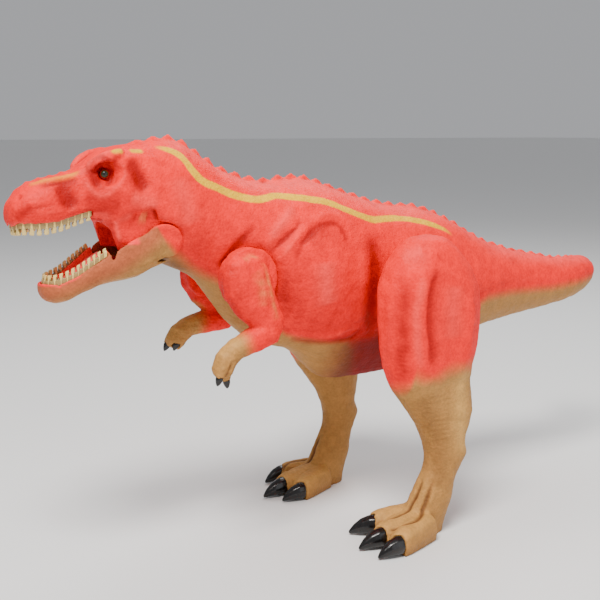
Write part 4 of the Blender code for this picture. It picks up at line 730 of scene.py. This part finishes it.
def dressLeg(word):
    side = 1 if word == "left" else -1
    piece = copyOfNode("leg_" + word, "legSkin" + word.capitalize())
    remesh(piece, leg["voxel"])
    points = pointsOf(piece)
    weights = ramp(points[:, 2], 1.5, 8) * (0.35 + 0.65 * ramp(points[:, 2], 14, 24))
    relax(piece, weights, leg["rounds"])
    relax(piece, ramp(points[:, 2], 0.5, 3), 5)
    skin = Skin(piece)
    raised = np.zeros(len(skin.points))
    for line, radius, height in legStrokes.values():
        raised += height * skin.touch(line, radius, side)
    creases = np.zeros(len(skin.points))
    for line in toeCreases:
        creases += skin.touch(line, leg["creaseRadius"], side, taper=0.2)
    raised -= leg["creaseDepth"] * creases
    for level in np.arange(38, 62, 2.2):
        raised -= 0.14 * skin.touch([(-12, level - 1), (-2, level), (9, level + 1)], 0.6, side)
    for level in np.arange(68, 88, 2.0):
        raised -= 0.13 * skin.touch([(-20.5, level), (-16.5, level + 0.5), (-13, level)], 0.5, side)
    x, y, z = skin.points.T
    high = ramp(z, 20, 60)
    raised += leg["lumpHeight"] * wave(skin.points, leg["lumpSize"], 11) * (0.4 + 0.6 * high)
    raised += leg["grainHeight"] * wave(skin.points, leg["grainSize"], 12)
    skin.push(raised * ramp(z, 0.3, 3))
    dips = skin.relief(12)
    coat = plainCoat(len(x), "red")
    # painted light: upward-facing skin and raised relief lighter as painted highlight, hollows darker as
    # painted shade
    coat = mixed(coat, 0.45 * ramp(skin.normals[:, 2], -0.2, 0.9), "pinkRed")
    coat = mixed(coat, 0.6 * ramp(raised, 0.1, 0.6), "pinkRed")
    coat = mixed(coat, 0.7 * ramp(-raised, 0.05, 0.7), "deepRed")
    # painted shade and painted highlights along the legShades strokes
    for line, radius, share, paint in legShades.values():
        coat = mixed(coat, share * skin.touch(line, radius, side, taper=0.15), paint)
    edge = np.interp(y, [-22, -15, -12, -10.5, -7, -4, 5, 16, 30], [62, 63, 65, 70, 68.5, 68, 71, 71.5, 71])
    under = ramp(edge - z + 0.9 * wave(skin.points, 9, 21), -5.5, 4.5)
    coat = mixed(coat, under, "tan")
    # painted light on the tan: upward-facing skin and the calf lighter as painted highlight; the shin, the
    # foot's lowest 5 mm, the toe creases and the hollows brown as painted shade
    coat = mixed(coat, 0.4 * under * ramp(skin.normals[:, 2], 0.1, 0.9), "paleTan")
    coat = mixed(coat, 0.6 * under * skin.touch(calfLight, 4.5, side, taper=0), "paleTan")
    coat = mixed(coat, 0.4 * under * skin.touch(shinShade, 4.5, side, taper=0.1), "brown")
    coat = mixed(coat, 0.3 * under * ramp(5 - z, 0, 5), "brown")
    coat = mixed(coat, 0.7 * under * ramp(creases, 0.15, 0.8), "brown")
    coat = mixed(coat, 0.6 * under * ramp(-dips, 0.05, 0.3), "brown")
    givePaint(piece, coat)
    wrap(piece, word + "_leg", ["leg_" + word], skinMaterial)
    print(word, "leg dressed:", len(piece.data.polygons), "faces")


for word in ("left", "right"):
    dressLeg(word)


# Arms and hands

# pale patches on the upper arm; the second, down its rear edge, is a painted highlight
armPatches = [([(23, -70, 114), (23, -67, 107), (23, -66.4, 100)], 2.2, 0.3),
              ([(21, -66, 117), (22, -64, 110), (22, -62, 102), (23, -60, 94)], 1.4, 0.4),
              ([(21, -74, 118), (20, -70, 119.6), (20, -66, 118)], 1.2, 0.4)]
arm = {"voxel": 0.36, "rounds": 14, "lumpSize": 5, "lumpHeight": 0.16, "grainSize": 2.2,
       "grainHeight": 0.05, "fingerSplit": 0.5, "elbow": (-59.4, 89.3), "handToWrist": (2, 9), "tanFrom": 13.5}


def dressArm(word):
    side = 1 if word == "left" else -1
    piece = copyOfNode("arm_" + word, "armSkin" + word.capitalize())
    remesh(piece, arm["voxel"])
    relax(piece, np.ones(len(piece.data.vertices)), arm["rounds"])
    skin = Skin(piece)
    raised = arm["lumpHeight"] * wave(skin.points, arm["lumpSize"], 17)
    raised += arm["grainHeight"] * wave(skin.points, arm["grainSize"], 18)
    front, rear = [sum(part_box(f"finger_claw_{name}_{word}"), Vector()) / 2 / mm
                   for name in ("front", "rear")]
    between = (front + rear) / 2
    split = [(between.x * side + offset, between.y + back, between.z + up)
             for offset, back, up in ((3, 0, 2), (5, 1, 5), (5, 2.5, 9))]
    raised -= arm["fingerSplit"] * skin.touch(split, 0.9, side)
    skin.push(raised)
    x, y, z = skin.points.T
    elbow = np.array(arm["elbow"])
    wrist = np.array([front.y, front.z]) + arm["handToWrist"]
    way = (wrist - elbow) / np.linalg.norm(wrist - elbow)
    done = (np.c_[y, z] - elbow) @ way
    dips = skin.relief(14)
    coat = plainCoat(len(x), "red")
    # painted light: the arm's front darker as painted shade, upward-facing skin and raised relief lighter as
    # painted highlight, hollows darker as painted shade
    coat = mixed(coat, 0.5 * ramp(-skin.normals[:, 1], 0.0, 0.8), "deepRed")
    coat = mixed(coat, 0.5 * ramp(skin.normals[:, 2], 0.0, 0.9), "pinkRed")
    coat = mixed(coat, 0.4 * ramp(raised, 0.05, 0.3), "pinkRed")
    coat = mixed(coat, 0.4 * ramp(-raised, 0.05, 0.4), "deepRed")
    blotchy = 0.5 + 0.5 * ramp(wave(skin.points, 3, 23), -0.6, 0.6)
    for line, radius, share in armPatches:
        coat = mixed(coat, share * skin.touch(line, radius, side) * blotchy, "paleTan")
    above = (np.c_[y, z] - elbow) @ np.array([way[1], -way[0]])
    pin = sum(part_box("shoulder_plug_" + word), Vector()) / 2 / mm
    upper = np.array([pin.y, pin.z]) - elbow
    beside = np.abs((np.c_[y, z] - elbow) @ np.array([upper[1], -upper[0]])) / np.linalg.norm(upper)
    under = ramp(done, arm["tanFrom"] - 4, arm["tanFrom"] + 4) * ramp(-above, -11, -7)
    under *= ramp(beside - above, 0, 4)  # the forearm, and not the front of the shoulder above it
    coat = mixed(coat, under, "tan")
    # painted light on the tan forearm: upward-facing skin lighter as painted highlight, hollows brown as
    # painted shade
    coat = mixed(coat, 0.5 * under * ramp(skin.normals[:, 2], 0, 0.9), "paleTan")
    coat = mixed(coat, 0.6 * under * ramp(-raised, 0.15, 0.6), "brown")
    coat = mixed(coat, 0.5 * under * ramp(-dips, 0.02, 0.25), "brown")
    givePaint(piece, coat)
    wrap(piece, word + "_arm", ["arm_" + word], skinMaterial)
    print(word, "arm dressed:", len(piece.data.polygons), "faces")


for word in ("left", "right"):
    dressArm(word)


# Claws

claw = {"toeVoxel": 0.35, "fingerVoxel": 0.22, "rounds": 8, "lift": 0.12}


def dressClaw(node, body, voxel):
    piece = copyOfNode(node, node.replace("_", "") + "Gloss")
    remesh(piece, voxel)
    relax(piece, np.ones(len(piece.data.vertices)), claw["rounds"])
    skin = Skin(piece)
    skin.push(np.full(len(skin.points), claw["lift"]))
    givePaint(piece, plainCoat(len(skin.points), "black"))
    wrap(piece, body, [node], clawMaterial)


for word in ("left", "right"):
    for toe in ("inner", "middle", "outer"):
        dressClaw(f"toe_claw_{toe}_{word}", word + "_leg", claw["toeVoxel"])
    for finger in ("front", "rear"):
        dressClaw(f"finger_claw_{finger}_{word}", word + "_arm", claw["fingerVoxel"])
print("claws dressed")


# Teeth and tongue

teeth = {"voxel": 0.20, "rounds": 3, "gapDepth": 0.18}
tongue = {"voxel": 0.3, "rounds": 6}


def toothGaps(skin, gumSide):  # 1 above the gaps between crowns, 0 above the crowns
    tips = np.flatnonzero(-gumSide * skin.normals[:, 2] > 0.5)
    levels = skin.points[tips, 2]
    tree = KDTree(len(tips))
    for index, (x, y, _) in enumerate(skin.points[tips]):
        tree.insert((x, y, 0), index)
    tree.balance()
    around = np.array([np.mean([levels[found] for _, found, _ in tree.find_n((x, y, 0), 160)])
                       for x, y, _ in skin.points[tips]])
    higher = gumSide * (levels - around)
    below = [tree.find((x, y, 0))[1] for x, y, _ in skin.points]
    return ramp(higher[below], 0.4, 0.8)


def dressTeeth(node, body, gumSide):
    piece = copyOfNode(node, node.replace("_", "") + "Cream")
    remesh(piece, teeth["voxel"])
    relax(piece, np.ones(len(piece.data.vertices)), teeth["rounds"])
    skin = Skin(piece)
    gaps = toothGaps(skin, gumSide)
    skin.push(-teeth["gapDepth"] * gaps * ramp(1 - np.abs(skin.normals[:, 2]), 0.3, 0.7))
    coat = plainCoat(len(skin.points), "cream")
    # painted shade: brown in the gaps between crowns and in the crevices at their roots
    coat = mixed(coat, 0.6 * gaps, "toothShadeBrown")
    dips = skin.relief(10)
    coat = mixed(coat, 0.85 * ramp(-dips, 0.01, 0.12), "toothShadeBrown")
    coat = mixed(coat, 0.8 * ramp(gumSide * skin.normals[:, 2], 0.7, 0.95), "gumPink")
    givePaint(piece, coat)
    wrap(piece, body, [node], toothMaterial)
    print(node, "dressed:", len(piece.data.polygons), "faces")


dressTeeth("upper_teeth", "body", 1)
dressTeeth("lower_teeth", "jaw", -1)


def dressTongue():
    piece = copyOfNode("tongue", "tongueFlesh")
    remesh(piece, tongue["voxel"])
    relax(piece, np.ones(len(piece.data.vertices)), tongue["rounds"])
    skin = Skin(piece)
    givePaint(piece, plainCoat(len(skin.points), "gumPink"))
    wrap(piece, "jaw", ["tongue"], fleshMaterial)


dressTongue()


# Eyes

eye = {"size": 0.86, "pupil": 0.5, "iris": 0.95, "around": 32, "rings": 20}


def dressEye(word, side):
    node = "eye_" + word
    low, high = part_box(node)
    radius = eye["size"] * min(high.y - low.y, high.z - low.z) / 2
    shape = bmesh.new()
    turn = Matrix.Rotation(side * pi / 2, 4, "Y")
    bmesh.ops.create_uvsphere(shape, u_segments=eye["around"], v_segments=eye["rings"], radius=radius,
                              matrix=Matrix.Translation((low + high) / 2) @ turn)
    mesh = bpy.data.meshes.new("eyeBall" + word.capitalize())
    shape.to_mesh(mesh)
    shape.free()
    piece = linkNew(mesh.name, mesh)
    offset = (pointsOf(piece) - np.array((low + high) / 2) / mm) / (radius / mm)
    away = np.arccos(np.clip(offset @ np.array([side * 0.96, -0.25, 0.1]), -1, 1))
    coat = plainCoat(len(offset), "olive")
    coat = mixed(coat, 1 - ramp(away, eye["pupil"] - 0.06, eye["pupil"] + 0.06), "black")
    coat = mixed(coat, ramp(away, eye["iris"] - 0.1, eye["iris"] + 0.1), "deepRed")
    givePaint(piece, coat)
    wrap(piece, "body", [node], eyeMaterial)


dressEye("left", 1)
dressEye("right", -1)
print("teeth, tongue and eyes dressed")


# Hidden joint parts keep their CAD shape and get a moulded or steel finish

def plainSurface(name, colour, roughness, metallic):
    material, tree, shader = newMaterial(name)
    place = addNode(tree, "ShaderNodeTexCoord")
    grain = noiseNode(tree, 900, 2, place)
    rough = rangeNode(tree, grain, roughness - 0.08, roughness + 0.08)
    tree.links.new(rough.outputs["Result"], shader.inputs["Roughness"])
    shader.inputs["Base Color"].default_value = (*colour, 1)
    shader.inputs["Metallic"].default_value = metallic
    return material


plugMaterial = plainSurface("mouldedPlug", (0.22, 0.22, 0.23), 0.5, 0)
pinMaterial = plainSurface("steelPin", (0.55, 0.55, 0.56), 0.3, 1)
for nodeName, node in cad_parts.items():
    if "plug" in nodeName or nodeName == "jaw_pin":
        node.data.materials.clear()
        node.data.materials.append(plugMaterial if "plug" in nodeName else pinMaterial)
print("joint parts finished")


# Floor, lights and camera

studio = {
    "floorSize": 20,
    "floorColour": (0.80, 0.80, 0.79),
    "floorGrain": 60,
    "floorRoughness": (0.7, 0.9),
    "worldColour": (0.95, 0.96, 1.0),
    "worldStrength": 0.44,
    "key": {"place": (0.40, -0.42, 0.92), "size": 0.4, "power": 16.5, "colour": (1.0, 0.97, 0.94)},
    "fill": {"place": (0.85, 0.20, 0.35), "size": 0.8, "power": 2.0, "colour": (0.96, 0.97, 1.0)},
    "rim": {"place": (-0.35, 0.45, 0.85), "size": 0.5, "power": 4.0, "colour": (1.0, 1.0, 1.0)},
    "cameraPlace": (0.365, -0.267, 0.1664),
    "cameraTurn": 57.6,
    "cameraTilt": 9.14,
    "lens": 63,
    "sensor": 36,
    "aim": (0, 0, 0.09),
}


def buildStudio():
    shape = bmesh.new()
    bmesh.ops.create_grid(shape, x_segments=1, y_segments=1, size=studio["floorSize"])
    mesh = bpy.data.meshes.new("studioFloor")
    shape.to_mesh(mesh)
    shape.free()
    floor = linkNew("studioFloor", mesh)
    material, tree, shader = newMaterial("palePaper")
    grain = noiseNode(tree, studio["floorGrain"], 2)
    rough = rangeNode(tree, grain, *studio["floorRoughness"])
    tree.links.new(rough.outputs["Result"], shader.inputs["Roughness"])
    shader.inputs["Base Color"].default_value = (*studio["floorColour"], 1)
    shader.inputs["Specular IOR Level"].default_value = 0.2
    mesh.materials.append(material)
    world = bpy.data.worlds.new("studioAir")
    world.use_nodes = True
    back = world.node_tree.nodes["Background"]
    back.inputs["Color"].default_value = (*studio["worldColour"], 1)
    back.inputs["Strength"].default_value = studio["worldStrength"]
    bpy.context.scene.world = world
    for name in ("key", "fill", "rim"):
        setup = studio[name]
        light = bpy.data.lights.new(name + "Light", "AREA")
        light.shape = "DISK"
        light.size = setup["size"]
        light.energy = setup["power"]
        light.color = setup["colour"]
        lamp = bpy.data.objects.new(name + "Light", light)
        lamp.location = setup["place"]
        aim = Vector(studio["aim"]) - lamp.location
        lamp.rotation_euler = aim.to_track_quat("-Z", "Y").to_euler()
        bpy.context.scene.collection.objects.link(lamp)


def placeCamera():
    data = bpy.data.cameras.new("productCamera")
    data.lens = studio["lens"]
    data.sensor_width = studio["sensor"]
    data.clip_start = 0.01
    camera = bpy.data.objects.new("productCamera", data)
    camera.location = studio["cameraPlace"]
    turn, tilt = radians(studio["cameraTurn"]), radians(studio["cameraTilt"])
    forward = Vector((-sin(turn) * cos(tilt), cos(turn) * cos(tilt), -sin(tilt)))
    camera.rotation_euler = forward.to_track_quat("-Z", "Y").to_euler()
    bpy.context.scene.collection.objects.link(camera)
    bpy.context.scene.camera = camera


buildStudio()
placeCamera()
bpy.context.view_layer.update()
